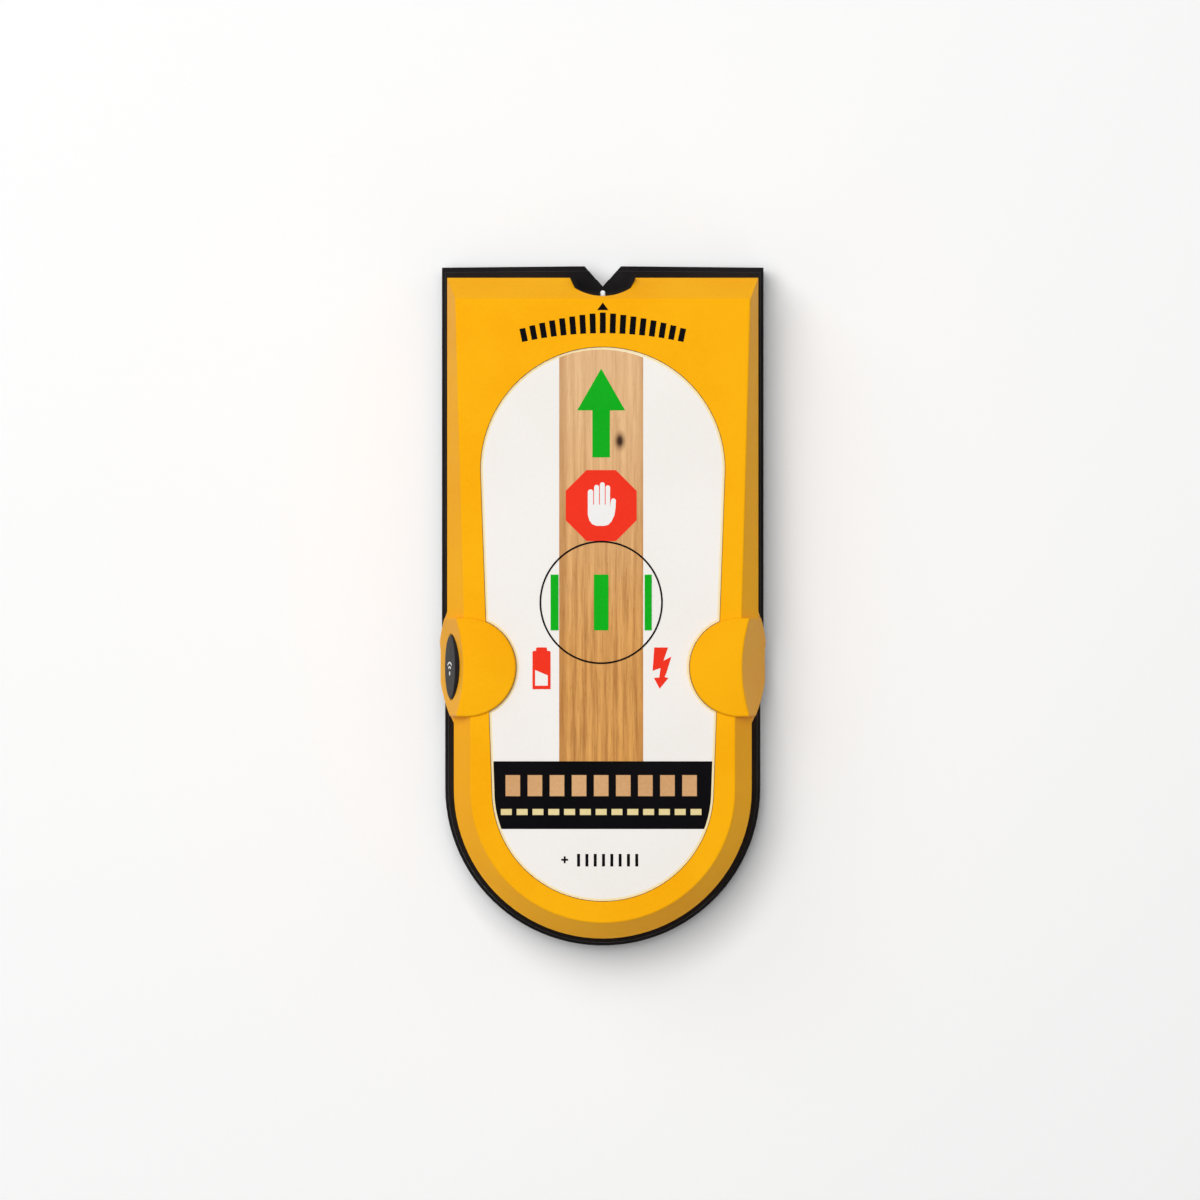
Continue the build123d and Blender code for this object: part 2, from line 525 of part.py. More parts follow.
# ---- marking notch guide and pointer light -------------------------------------------------------
with BuildPart() as notch_guide:
    with BuildSketch(Plane.XY.offset(SEAM_Z)):
        scallop_face()
    extrude(amount=GUIDE_TOP - SEAM_Z)
    with BuildSketch(Plane.XY.offset(SEAM_Z + GUIDE_FLOOR)):
        scallop_face(-GUIDE_WALL)
    extrude(amount=GUIDE_TOP, mode=Mode.SUBTRACT)
    with BuildSketch(Plane.XY):
        notch_face()
    extrude(amount=FACE_Z, mode=Mode.SUBTRACT)
    with BuildSketch(Plane.XY.offset(PIPE_Z)):
        with Locations((0, GUIDE_Y)):
            Rectangle(2 * (PIPE_R + TOUCH), 4 * GUIDE_WALL)
    extrude(amount=GUIDE_TOP, mode=Mode.SUBTRACT)
    with Locations(Location((0, GUIDE_Y, PIPE_Z), (90, 0, 0))):
        Cylinder(PIPE_R + TOUCH, 4 * GUIDE_WALL, mode=Mode.SUBTRACT)
notch_guide.part.label = "notch_guide"
export_step(notch_guide.part, "parts/notch_guide.step")

with BuildPart() as pointer_led:
    block(-LAMP / 2, LAMP / 2, TAB_Y - LAMP, TAB_Y, BOARD_TOP, BOARD_TOP + LAMP)
pointer_led.part.label = "pointer_led"
export_step(pointer_led.part, "parts/pointer_led.step")

with BuildPart() as pointer_lens:
    with Locations(Location((0, TAB_Y, PIPE_Z), (-90, 0, 0))):
        Cylinder(PIPE_R, GUIDE_Y + GUIDE_WALL - TAB_Y, align=(Align.CENTER, Align.CENTER, Align.MIN))
    with Locations((0, GUIDE_Y + GUIDE_WALL, PIPE_Z)):
        Sphere(PIPE_R)
pointer_lens.part.label = "pointer_lens"
export_step(pointer_lens.part, "parts/pointer_lens.step")

# ---- window, diffuser and light baffle -----------------------------------------------------------
with BuildPart() as face_window:
    with BuildSketch(Plane.XY.offset(WINDOW_Z)):
        window_face()
        with Locations((GRIP_X, GRIP_Y), (-GRIP_X, GRIP_Y)):
            Circle(GRIP_R + SLIP, mode=Mode.SUBTRACT)
    extrude(amount=WINDOW_T)
face_window.part.label = "face_window"
export_step(face_window.part, "parts/face_window.step")

with BuildPart() as diffuser_sheet:
    block(-WELL_HALF + SLIP, WELL_HALF - SLIP, WELL_Y0 + SLIP, WELL_Y1 - SLIP,
          WINDOW_Z - DIFFUSER_T, WINDOW_Z)
diffuser_sheet.part.label = "diffuser_sheet"
export_step(diffuser_sheet.part, "parts/diffuser_sheet.step")

with BuildPart() as light_baffle:
    block(-WELL_HALF + SLIP, WELL_HALF - SLIP, BOARD_Y0 + SLIP, WELL_Y1 - SLIP, BOARD_TOP,
          WINDOW_Z - DIFFUSER_T)
    with BuildSketch(Plane.XY.offset(BOARD_TOP)):
        with Locations((0, ARROW_Y)):
            Rectangle(*ARROW_WELL)
        with Locations((0, STOP_Y)):
            RegularPolygon(STOP_WELL_R, 8, major_radius=False, rotation=180 / 8)
        with Locations(*BAR_PLACES):
            Rectangle(*BAR_WELL)
        with Locations(*WARNING_PLACES):
            Rectangle(*WARNING_WELL)
    extrude(amount=FACE_Z, mode=Mode.SUBTRACT)
light_baffle.part.label = "light_baffle"
export_step(light_baffle.part, "parts/light_baffle.step")

for name, places in (("target_leds", TARGET_LAMPS), ("warning_leds", WARNING_LAMPS)):
    with BuildPart() as lamps:
        with Locations(*[(x, y, BOARD_TOP) for x, y in places]):
            Box(LAMP, LAMP, LAMP_T, align=(Align.CENTER, Align.CENTER, Align.MIN))
    lamps.part.label = name
    export_step(lamps.part, f"parts/{name}.step")

# ---- main circuit board and what sits on it ------------------------------------------------------
with BuildPart() as circuit_board:
    block(-BOARD_HALF, BOARD_HALF, BOARD_Y0, BOARD_Y1, BOARD_Z, BOARD_TOP)
    block(-TAB_HALF, TAB_HALF, BOARD_Y1 - 1, TAB_Y, BOARD_Z, BOARD_TOP)
    fillet(circuit_board.edges().filter_by(Axis.Z).group_by(Axis.Y)[0], BOARD_ROUND)
    pillar(BOARD_SCREWS, SCREW_R + TOUCH, BOARD_Z, BOARD_TOP, Mode.SUBTRACT)
circuit_board.part.label = "circuit_board"
export_step(circuit_board.part, "parts/circuit_board.step")

with BuildPart() as controller_chip:
    with Locations((*CHIP_PLACE, BOARD_Z)):
        Box(CHIP, CHIP, CHIP_T, align=(Align.CENTER, Align.CENTER, Align.MAX))
    chamfer(controller_chip.faces().sort_by(Axis.Z)[0].edges(), CHIP_EDGE)
controller_chip.part.label = "controller_chip"
export_step(controller_chip.part, "parts/controller_chip.step")

with BuildPart() as passive_components:
    with Locations((*PASSIVE_PLACE, BOARD_Z)):
        with GridLocations(*PASSIVE_PITCH, *PASSIVE_COUNT):
            Box(*PASSIVE, align=(Align.CENTER, Align.CENTER, Align.MAX))
passive_components.part.label = "passive_components"
export_step(passive_components.part, "parts/passive_components.step")

with BuildPart() as buzzer:
    with Locations((*BUZZER_PLACE, BOARD_Z)):
        Cylinder(BUZZER_R, BUZZER_T, align=(Align.CENTER, Align.CENTER, Align.MAX))
    with Locations((*BUZZER_PLACE, BOARD_Z - BUZZER_T)):
        Cylinder(BUZZER_PORT_R, BUZZER_PORT_DEPTH, align=(Align.CENTER, Align.CENTER, Align.MIN),
                 mode=Mode.SUBTRACT)
    fillet(buzzer.faces().sort_by(Axis.Z)[0].outer_wire().edges(), EDGE_ROUND)
buzzer.part.label = "buzzer"
export_step(buzzer.part, "parts/buzzer.step")

# ---- sensor board with its plates, and the link between the boards -------------------------------
with BuildPart() as sensor_board:
    block(-SENSOR_HALF, SENSOR_HALF, SENSOR_Y0, SENSOR_Y1, SENSOR_Z, SENSOR_TOP)
    pillar(BOARD_SCREWS, SCREW_R + TOUCH, SENSOR_Z, SENSOR_TOP, Mode.SUBTRACT)
sensor_board.part.label = "sensor_board"
export_step(sensor_board.part, "parts/sensor_board.step")

with BuildPart() as sensor_plates:
    with Locations((0, COPPER_Y, SENSOR_Z)):
        with GridLocations(COPPER_PITCH, 0, 3, 1):
            Box(COPPER_W, COPPER_L, COPPER_T, align=(Align.CENTER, Align.CENTER, Align.MAX))
sensor_plates.part.label = "sensor_plates"
export_step(sensor_plates.part, "parts/sensor_plates.step")

with BuildPart() as board_link:
    with Locations((*LINK_PLACE, SENSOR_TOP)):
        Box(LINK_PINS * LINK_BODY, LINK_BODY, LINK_BODY, align=(Align.CENTER, Align.CENTER, Align.MIN))
        with GridLocations(LINK_BODY, 0, LINK_PINS, 1):
            Box(LINK_PIN, LINK_PIN, BOARD_Z - SENSOR_TOP, align=(Align.CENTER, Align.CENTER, Align.MIN))
    with Locations((*LINK_PLACE, BOARD_Z)):
        Box(LINK_PINS * LINK_BODY, LINK_BODY, 2 * LINK_BODY, align=(Align.CENTER, Align.CENTER, Align.MAX))
board_link.part.label = "board_link"
export_step(board_link.part, "parts/board_link.step")

# ---- push button and its switch ------------------------------------------------------------------
with BuildPart() as scan_button:
    with BuildSketch(oval_plane(-CAP_X + FLANGE_T)):
        Ellipse(BUTTON_HALF_L + FLANGE_W, BUTTON_HALF_H + FLANGE_W)
    extrude(amount=GRIP_R)
    dish(-1, GRIP_WALL + RUN, Mode.SUBTRACT)
    dish(-1, GRIP_WALL + RUN + FLANGE_T, Mode.INTERSECT)
    with BuildSketch(oval_plane(-CAP_X)):
        Ellipse(BUTTON_HALF_L, BUTTON_HALF_H)
    extrude(amount=GRIP_R)
    with Locations(Location((-DISH_X, GRIP_Y, FACE_Z), (0, DISH_TILT, 0))):
        with Locations((-BUTTON_PROUD, 0, 0)):
            Box(GRIP_R, 2 * GRIP_R, 3 * FACE_Z, align=(Align.MAX, Align.CENTER, Align.CENTER),
                mode=Mode.SUBTRACT)
    fillet(scan_button.faces().sort_by(Axis.X)[0].edges(), EDGE_ROUND)
    block(-CAP_X - 1, SWITCH_X - PLUNGER_OUT - TOUCH, GRIP_Y - STEM_HALF, GRIP_Y + STEM_HALF,
          BUTTON_Z - STEM_HALF, BUTTON_Z + STEM_HALF)
scan_button.part.label = "scan_button"
export_step(scan_button.part, "parts/scan_button.step")

with BuildPart() as scan_switch:
    block(SWITCH_X, SWITCH_X + SWITCH_DEPTH, GRIP_Y - SWITCH_HALF, GRIP_Y + SWITCH_HALF, BOARD_TOP,
          2 * BUTTON_Z - BOARD_TOP)
    with Locations(Location((SWITCH_X, GRIP_Y, BUTTON_Z), (0, 90, 0))):
        Cylinder(PLUNGER_R + TOUCH, 2 * (PLUNGER_OUT + BUTTON_TRAVEL), mode=Mode.SUBTRACT)
scan_switch.part.label = "scan_switch"
export_step(scan_switch.part, "parts/scan_switch.step")

with BuildPart() as switch_plunger:
    with Locations(Location((SWITCH_X - PLUNGER_OUT, GRIP_Y, BUTTON_Z), (0, 90, 0))):
        Cylinder(PLUNGER_R, 2 * PLUNGER_OUT, align=(Align.CENTER, Align.CENTER, Align.MIN))
switch_plunger.part.label = "switch_plunger"
export_step(switch_plunger.part, "parts/switch_plunger.step")

# ---- battery, its clip and leads -----------------------------------------------------------------
with BuildPart() as battery_9v:
    block(-CELL_W / 2, CELL_W / 2, CELL_Y0, CELL_Y1, CELL_Z, CELL_Z + CELL_H)
    fillet(battery_9v.edges().filter_by(Axis.Y), CELL_ROUND)
battery_9v.part.label = "battery_9v"
export_step(battery_9v.part, "parts/battery_9v.step")

with BuildPart() as battery_terminals:
    with Locations(Location((-TERMINAL_PITCH / 2, CELL_Y1, CELL_MID_Z), (-90, 0, 0))):
        Cylinder(STUD_R, TERMINAL_T, align=(Align.CENTER, Align.CENTER, Align.MIN))
    with Locations(Location((TERMINAL_PITCH / 2, CELL_Y1, CELL_MID_Z), (-90, 0, 0))):
        Cylinder(SOCKET_R, TERMINAL_T, align=(Align.CENTER, Align.CENTER, Align.MIN))
        Cylinder(STUD_R, TERMINAL_T, align=(Align.CENTER, Align.CENTER, Align.MIN), mode=Mode.SUBTRACT)
battery_terminals.part.label = "battery_terminals"
export_step(battery_terminals.part, "parts/battery_terminals.step")

with BuildPart() as snap_connector:
    block(-SNAP_HALF_W, SNAP_HALF_W, SNAP_Y, SNAP_Y + SNAP_T, CELL_MID_Z - SNAP_HALF_H,
          CELL_MID_Z + SNAP_HALF_H)
    fillet(snap_connector.edges().filter_by(Axis.Y), SNAP_ROUND)
    with Locations(Location((-TERMINAL_PITCH / 2, SNAP_Y, CELL_MID_Z), (-90, 0, 0)),
                   Location((TERMINAL_PITCH / 2, SNAP_Y, CELL_MID_Z), (-90, 0, 0))):
        Cylinder(SOCKET_R + RUN, SNAP_T - SNAP_BACK, align=(Align.CENTER, Align.CENTER, Align.MIN),
                 mode=Mode.SUBTRACT)
snap_connector.part.label = "snap_connector"
export_step(snap_connector.part, "parts/snap_connector.step")

with BuildPart() as snap_contacts:
    with Locations(Location((-TERMINAL_PITCH / 2, SNAP_Y, CELL_MID_Z), (-90, 0, 0))):
        Cylinder(SOCKET_R, SNAP_T - SNAP_BACK, align=(Align.CENTER, Align.CENTER, Align.MIN))
        Cylinder(STUD_R + SLIP, TERMINAL_T + SLIP, align=(Align.CENTER, Align.CENTER, Align.MIN),
                 mode=Mode.SUBTRACT)
    with Locations(Location((TERMINAL_PITCH / 2, SNAP_Y, CELL_MID_Z), (-90, 0, 0))):
        Cylinder(STUD_R - SLIP, SNAP_T - SNAP_BACK, align=(Align.CENTER, Align.CENTER, Align.MIN))
snap_contacts.part.label = "snap_contacts"
export_step(snap_contacts.part, "parts/snap_contacts.step")

for name, x in (("wire_red", -WIRE_X), ("wire_black", WIRE_X)):
    with BuildPart() as wire:
        with BuildLine() as route:
            FilletPolyline((x, SNAP_Y + SNAP_T, WIRE_Z), (x, WIRE_Y, WIRE_Z), (x, WIRE_Y, BOARD_Z),
                           radius=WIRE_BEND)
        with BuildSketch(Plane(origin=(x, SNAP_Y + SNAP_T, WIRE_Z), z_dir=(0, 1, 0))):
            Circle(WIRE_R)
        sweep()
    wire.part.label = name
    export_step(wire.part, f"parts/{name}.step")

# ---- battery door --------------------------------------------------------------------------------
with BuildPart() as battery_door:
    block(-DOOR_HALF, DOOR_HALF, DOOR_Y0, DOOR_Y1, BASE_Z, BASE_Z + DOOR_T)
    fillet(battery_door.edges().filter_by(Axis.Z).group_by(Axis.Y)[-1], DOOR_ROUND)
    block(-HINGE_HALF, HINGE_HALF, HINGE_Y, DOOR_Y0 + HINGE_R, BASE_Z, BASE_Z + DOOR_T)
    with Locations(Location((0, HINGE_Y, HINGE_Z), (0, 90, 0))):
        Cylinder(HINGE_R, 2 * HINGE_HALF)
        Cylinder(HINGE_PIN_R, 2 * (HINGE_HALF + PIN_LENGTH))
    block(-TAB_HALF_W, TAB_HALF_W, BAY_Y1 - SLIP - TAB_T, BAY_Y1 - SLIP, BASE_Z + DOOR_T,
          BASE_Z + DOOR_T + TAB_RISE)
    with Locations((0, DOOR_Y1 - RIDGE_IN, BASE_Z)):
        with GridLocations(0, RIDGE_PITCH, 1, RIDGES):
            Box(RIDGE_L, RIDGE_W, 2 * RIDGE_DEPTH, mode=Mode.SUBTRACT)
battery_door.part.label = "battery_door"
export_step(battery_door.part, "parts/battery_door.step")

with BuildPart() as battery_foam:
    block(-FOAM_HALF, FOAM_HALF, CELL_Y0 + FOAM_END, CELL_Y1 - FOAM_END, BASE_Z + DOOR_T, CELL_Z)
battery_foam.part.label = "battery_foam"
export_step(battery_foam.part, "parts/battery_foam.step")

# ---- glide pads and fasteners --------------------------------------------------------------------
with BuildPart() as glide_pads:
    with BuildSketch():
        with Locations((-PAD_X, (PAD_Y0 + PAD_Y1) / 2), (PAD_X, (PAD_Y0 + PAD_Y1) / 2)):
            SlotOverall(PAD_Y1 - PAD_Y0, PAD_W, rotation=90)
    extrude(amount=PAD_T)
glide_pads.part.label = "glide_pads"
export_step(glide_pads.part, "parts/glide_pads.step")

with BuildPart() as case_screws:
    pillar(CASE_SCREWS, CASE_HEAD_R, CASE_SEAT_Z - CASE_HEAD_T, CASE_SEAT_Z)
    pillar(CASE_SCREWS, CASE_SCREW_R, CASE_SEAT_Z, CASE_SCREW_TIP)
    pillar(CASE_SCREWS, DRIVE_R, 0, CASE_SEAT_Z - CASE_HEAD_T / 2, Mode.SUBTRACT)
case_screws.part.label = "case_screws"
export_step(case_screws.part, "parts/case_screws.step")

with BuildPart() as board_screws:
    pillar(BOARD_SCREWS, SCREW_HEAD_R, BOARD_Z - SCREW_HEAD_T, BOARD_Z)
    pillar(BOARD_SCREWS, SCREW_R, BOARD_Z, BOARD_Z + SCREW_LENGTH)
    pillar(BOARD_SCREWS, SCREW_HEAD_R, SENSOR_TOP, SENSOR_TOP + SCREW_HEAD_T)
    pillar(BOARD_SCREWS, SCREW_R, SENSOR_TOP - SCREW_LENGTH, SENSOR_TOP)
board_screws.part.label = "board_screws"
export_step(board_screws.part, "parts/board_screws.step")
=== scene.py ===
"""Stud finder: camera, studio, finishes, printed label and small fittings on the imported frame."""
import logging
import math
from dataclasses import dataclass, field
from enum import Enum
from typing import Callable, Iterable, Sequence

import bmesh
import bpy
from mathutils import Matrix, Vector
from mathutils.geometry import tessellate_polygon


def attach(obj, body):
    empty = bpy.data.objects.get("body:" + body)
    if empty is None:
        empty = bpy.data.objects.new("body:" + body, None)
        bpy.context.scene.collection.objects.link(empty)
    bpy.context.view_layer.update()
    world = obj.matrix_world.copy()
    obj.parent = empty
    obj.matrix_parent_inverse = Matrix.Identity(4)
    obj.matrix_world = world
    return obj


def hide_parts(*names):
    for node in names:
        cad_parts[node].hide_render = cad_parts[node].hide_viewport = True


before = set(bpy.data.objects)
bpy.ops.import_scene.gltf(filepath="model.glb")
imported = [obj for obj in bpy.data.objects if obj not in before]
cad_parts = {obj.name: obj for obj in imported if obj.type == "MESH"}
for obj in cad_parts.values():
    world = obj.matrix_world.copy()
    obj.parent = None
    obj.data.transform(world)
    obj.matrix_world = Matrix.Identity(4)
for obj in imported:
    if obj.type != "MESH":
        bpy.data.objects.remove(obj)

LOG = logging.getLogger("stud_finder")
MM = 0.001
Colour = tuple[float, float, float]
Point = tuple[float, float]
Lay = Callable[[float, float, float], Vector]
NodeSocket = bpy.types.NodeSocket


# ---- shader maths --------------------------------------------------------------------------------
class Wire:
    """A shader value that Python's operators turn into Math nodes."""

    def __init__(self, tree: bpy.types.NodeTree, socket: NodeSocket) -> None:
        """Hold one output socket of a node tree."""
        self.tree = tree
        self.socket = socket

    def math(self, operation: str, *others: "Wire | float", clamp: bool = False) -> "Wire":
        """Add one Math node.

        Args:
            operation: The node's operation name.
            *others: The values for its second and third inputs.
            clamp: Keep the result between 0 and 1.

        Returns:
            The node's result.
        """
        node = self.tree.nodes.new("ShaderNodeMath")
        node.operation = operation
        node.use_clamp = clamp
        for value, target in zip((self, *others), node.inputs):
            plug(self.tree, value, target)
        return Wire(self.tree, node.outputs[0])

    def __add__(self, other: "Wire | float") -> "Wire":
        """Return the sum."""
        return self.math("ADD", other)

    def __sub__(self, other: "Wire | float") -> "Wire":
        """Return the difference."""
        return self.math("SUBTRACT", other)

    def __mul__(self, other: "Wire | float") -> "Wire":
        """Return the product."""
        return self.math("MULTIPLY", other)

    def __truediv__(self, other: "Wire | float") -> "Wire":
        """Return the quotient."""
        return self.math("DIVIDE", other)

    def __neg__(self) -> "Wire":
        """Return the negative."""
        return self.math("MULTIPLY", -1.0)

    def __rsub__(self, other: float) -> "Wire":
        """Return other minus this."""
        return (-self) + other

    __radd__ = __add__
    __rmul__ = __mul__

    def __abs__(self) -> "Wire":
        """Return the size without its sign."""
        return self.math("ABSOLUTE")

    def step(self, low: float, high: float) -> "Wire":
        """Return a smooth rise from 0 at low to 1 at high; high may be the lower of the two."""
        node = self.tree.nodes.new("ShaderNodeMapRange")
        node.interpolation_type = "SMOOTHSTEP"
        self.tree.links.new(self.socket, node.inputs["Value"])
        node.inputs["From Min"].default_value = low
        node.inputs["From Max"].default_value = high
        return Wire(self.tree, node.outputs["Result"])


def plug(tree: bpy.types.NodeTree, value: object, target: NodeSocket) -> None:
    """Connect a wire or a socket to an input, or set the input to a constant.

    Args:
        tree: The tree that holds the input.
        value: A wire, a socket or a constant; a colour is given without its alpha.
        target: The input.
    """
    source = value.socket if isinstance(value, Wire) else value
    if isinstance(source, NodeSocket):
        tree.links.new(source, target)
    else:
        target.default_value = (*source, 1.0) if target.type == "RGBA" else source


class Recipe:
    """A material in the making: its tree, its Principled shader and helpers for what feeds it."""

    def __init__(self, name: str, roughness: float, metallic: float = 0.0, coat: float = 0.0) -> None:
        """Start a material.

        Args:
            name: The material's name.
            roughness: Roughness where nothing else drives it.
            metallic: 1 for bare metal.
            coat: Weight of a clear coat.
        """
        self.material = bpy.data.materials.new(f"look_{name}")
        self.material.use_nodes = True
        self.tree = self.material.node_tree
        self.shader = self.tree.nodes["Principled BSDF"]
        self.shader.inputs["Roughness"].default_value = roughness
        self.shader.inputs["Metallic"].default_value = metallic
        self.shader.inputs["Coat Weight"].default_value = coat
        coords = self.tree.nodes.new("ShaderNodeTexCoord")
        self.place = coords.outputs["Object"]

    def axis(self, letter: str) -> Wire:
        """Return one Object coordinate, X, Y or Z, in metres."""
        split = self.tree.nodes.new("ShaderNodeSeparateXYZ")
        self.tree.links.new(self.place, split.inputs[0])
        return Wire(self.tree, split.outputs[letter])

    def stretched(self, x: float, y: float, z: float) -> NodeSocket:
        """Return Object coordinates multiplied by a factor along each axis."""
        mapping = self.tree.nodes.new("ShaderNodeMapping")
        mapping.inputs["Scale"].default_value = (x, y, z)
        self.tree.links.new(self.place, mapping.inputs["Vector"])
        return mapping.outputs["Vector"]

    def noise(self, size: float, detail: float = 3.0, roughness: float = 0.5,
              where: NodeSocket | None = None, warp: float = 0.0) -> Wire:
        """Return noise around 0.5.

        Args:
            size: Size of one blotch in metres.
            detail: Number of finer layers.
            roughness: Strength of the finer layers.
            where: Coordinates to use in place of Object coordinates.
            warp: Distortion of the pattern.

        Returns:
            The noise factor.
        """
        node = self.tree.nodes.new("ShaderNodeTexNoise")
        node.inputs["Scale"].default_value = 1.0 / size
        node.inputs["Detail"].default_value = detail
        node.inputs["Roughness"].default_value = roughness
        node.inputs["Distortion"].default_value = warp
        self.tree.links.new(where or self.place, node.inputs["Vector"])
        return Wire(self.tree, node.outputs["Fac"])

    def cells(self, size: float) -> Wire:
        """Return the distance to the nearest random point, counted in cells of a size in metres."""
        node = self.tree.nodes.new("ShaderNodeTexVoronoi")
        node.inputs["Scale"].default_value = 1.0 / size
        self.tree.links.new(self.place, node.inputs["Vector"])
        return Wire(self.tree, node.outputs["Distance"])

    def mix(self, first: Colour | NodeSocket, second: Colour | NodeSocket,
            factor: Wire) -> NodeSocket:
        """Blend two colours.

        Args:
            first: Colour at factor 0.
            second: Colour at factor 1.
            factor: The blend.

        Returns:
            The blended colour's socket.
        """
        node = self.tree.nodes.new("ShaderNodeMix")
        node.data_type = "RGBA"
        self.tree.links.new(factor.socket, node.inputs["Factor"])
        for slot, value in (("A", first), ("B", second)):
            socket = next(s for s in node.inputs if s.name == slot and s.type == "RGBA")
            plug(self.tree, value, socket)
        return next(s for s in node.outputs if s.type == "RGBA")

    def colour(self, value: Colour | NodeSocket) -> None:
        """Set the base colour to a constant or a socket."""
        self.feed("Base Color", value)

    def feed(self, name: str, value: "Wire | Colour | NodeSocket") -> None:
        """Connect or set one input of the shader."""
        plug(self.tree, value, self.shader.inputs[name])

    def bump(self, height: Wire, depth: float) -> None:
        """Drive the shader's normal by a height between 0 and 1, whose real depth is in metres."""
        node = self.tree.nodes.new("ShaderNodeBump")
        node.inputs["Strength"].default_value = 1.0
        node.inputs["Distance"].default_value = depth
        self.tree.links.new(height.socket, node.inputs["Height"])
        self.tree.links.new(node.outputs["Normal"], self.shader.inputs["Normal"])


# ---- finishes ------------------------------------------------------------------------------------
@dataclass(frozen=True)
class MouldedPlastic:
    """Injection-moulded plastic with a fine spark-eroded grain and handling scuffs."""

    name: str
    colour: Colour
    shade: Colour
    scuff: Colour
    roughness: float = 0.42
    grain: float = 0.28 * MM
    grain_depth: float = 0.006 * MM
    scuffing: float = 0.25
    gloss: float = 0.5

    def build(self) -> bpy.types.Material:
        """Return the material: blotchy colour, grain bump, and scuffs that lift the roughness."""
        r = Recipe(self.name, self.roughness)
        r.shader.inputs["Specular IOR Level"].default_value = self.gloss
        cloud = r.noise(26 * MM, 2.0).step(0.35, 0.68)
        speck = r.noise(0.9 * MM, 2.0).step(0.40, 0.62)
        base = r.mix(self.colour, self.shade, cloud * 0.75 + speck * 0.25)
        streak = r.noise(5 * MM, 4.0, 0.62, where=r.stretched(1.0, 0.28, 1.0), warp=0.8)
        scuff = streak.step(0.60, 0.74) * self.scuffing
        r.colour(r.mix(base, self.scuff, scuff))
        r.feed("Roughness", r.noise(3 * MM, 3.0) * 0.14 + scuff * 0.5 + (self.roughness - 0.07))
        pits = r.cells(self.grain).step(0.05, 0.75)
        r.bump(pits * 0.7 + r.noise(self.grain * 2.2, 3.0) * 0.6, self.grain_depth)
        return r.material


@dataclass(frozen=True)
class PrintedFilm:
    """Solid ink or blank film under a thin clear laminate."""

    name: str
    colour: Colour
    shade: Colour
    roughness: float = 0.30
    coat: float = 0.06
    gloss: float = 0.2

    def build(self) -> bpy.types.Material:
        """Return the material: slight ink mottle, orange-peel laminate and faint wipe marks."""
        r = Recipe(self.name, self.roughness, coat=self.coat)
        r.shader.inputs["Specular IOR Level"].default_value = self.gloss
        mottle = r.noise(0.7 * MM, 3.0, 0.6).step(0.38, 0.66)
        cloud = r.noise(30 * MM, 1.0).step(0.35, 0.70)
        r.colour(r.mix(self.colour, self.shade, mottle * 0.35 + cloud * 0.65))
        wipe = r.noise(7 * MM, 4.0, 0.6, where=r.stretched(0.35, 1.0, 1.0), warp=1.0)
        r.feed("Roughness", wipe.step(0.45, 0.75) * 0.10 + self.roughness)
        r.bump(r.noise(1.6 * MM, 2.0), 0.004 * MM)
        return r.material


@dataclass(frozen=True)
class WoodPrint:
    """A printed picture of planed softwood: long grain, pale head, warm foot, pores and a knot."""

    name: str
    pale: Colour
    warm: Colour
    deep: Colour
    half: float
    head: float
    foot: float
    knot: Point

    def build(self) -> bpy.types.Material:
        """Return the material, with grain that bends round the knot."""
        r = Recipe(self.name, 0.34, coat=0.3)
        x, y = r.axis("X"), r.axis("Y")
        kx, ky = self.knot
        near = ((x - kx) * (x - kx) + (y - ky) * (y - ky) * 0.35).math("SQRT")
        bend = near.step(7.0 * MM, 0.0)
        wander = r.noise(16 * MM, 2.0, where=r.stretched(1.0, 0.22, 1.0)) - 0.5
        across = x + wander * (3.4 * MM) + bend * (x - kx) * -0.45
        rings = (across * (2 * math.pi / (2.5 * MM))).math("SINE") * 0.5 + 0.5
        fibre = r.noise(0.55 * MM, 4.0, 0.65, where=r.stretched(1.0, 0.045, 1.0))
        pore = r.noise(0.30 * MM, 2.0, 0.7, where=r.stretched(1.0, 0.10, 1.0)).step(0.60, 0.70)
        drift = y.step(self.head, self.foot)
        tone = r.mix(self.pale, self.warm, drift * 0.85 + r.noise(12 * MM, 2.0) * 0.3 - 0.1)
        grain = rings * 0.32 + fibre.step(0.35, 0.70) * 0.55 + pore * 0.35
        wood = r.mix(tone, self.deep, grain * (drift * 0.50 + 0.42))
        edge = abs(x).step(self.half - 2.2 * MM, self.half)
        wood = r.mix(wood, self.deep, edge * 0.38)
        eye = near.step(1.25 * MM, 0.35 * MM)
        ring = near.step(1.9 * MM, 0.9 * MM) * 0.5
        wood = r.mix(wood, (0.20, 0.085, 0.03), ring)
        r.colour(r.mix(wood, (0.055, 0.022, 0.010), eye))
        r.feed("Roughness", fibre * 0.08 + 0.30)
        r.bump(r.noise(1.6 * MM, 2.0), 0.004 * MM)
        return r.material


@dataclass(frozen=True)
class SoftRubber:
    """Matte soft-touch rubber with dust in its pores."""

    name: str
    colour: Colour
    dust: Colour
    roughness: float = 0.62

    def build(self) -> bpy.types.Material:
        """Return the material."""
        r = Recipe(self.name, self.roughness)
        dust = r.noise(2.2 * MM, 4.0, 0.65).step(0.50, 0.74)
        r.colour(r.mix(self.colour, self.dust, dust * 0.5))
        r.feed("Roughness", dust * 0.16 + self.roughness)
        r.bump(r.cells(0.22 * MM).step(0.0, 0.7), 0.010 * MM)
        return r.material


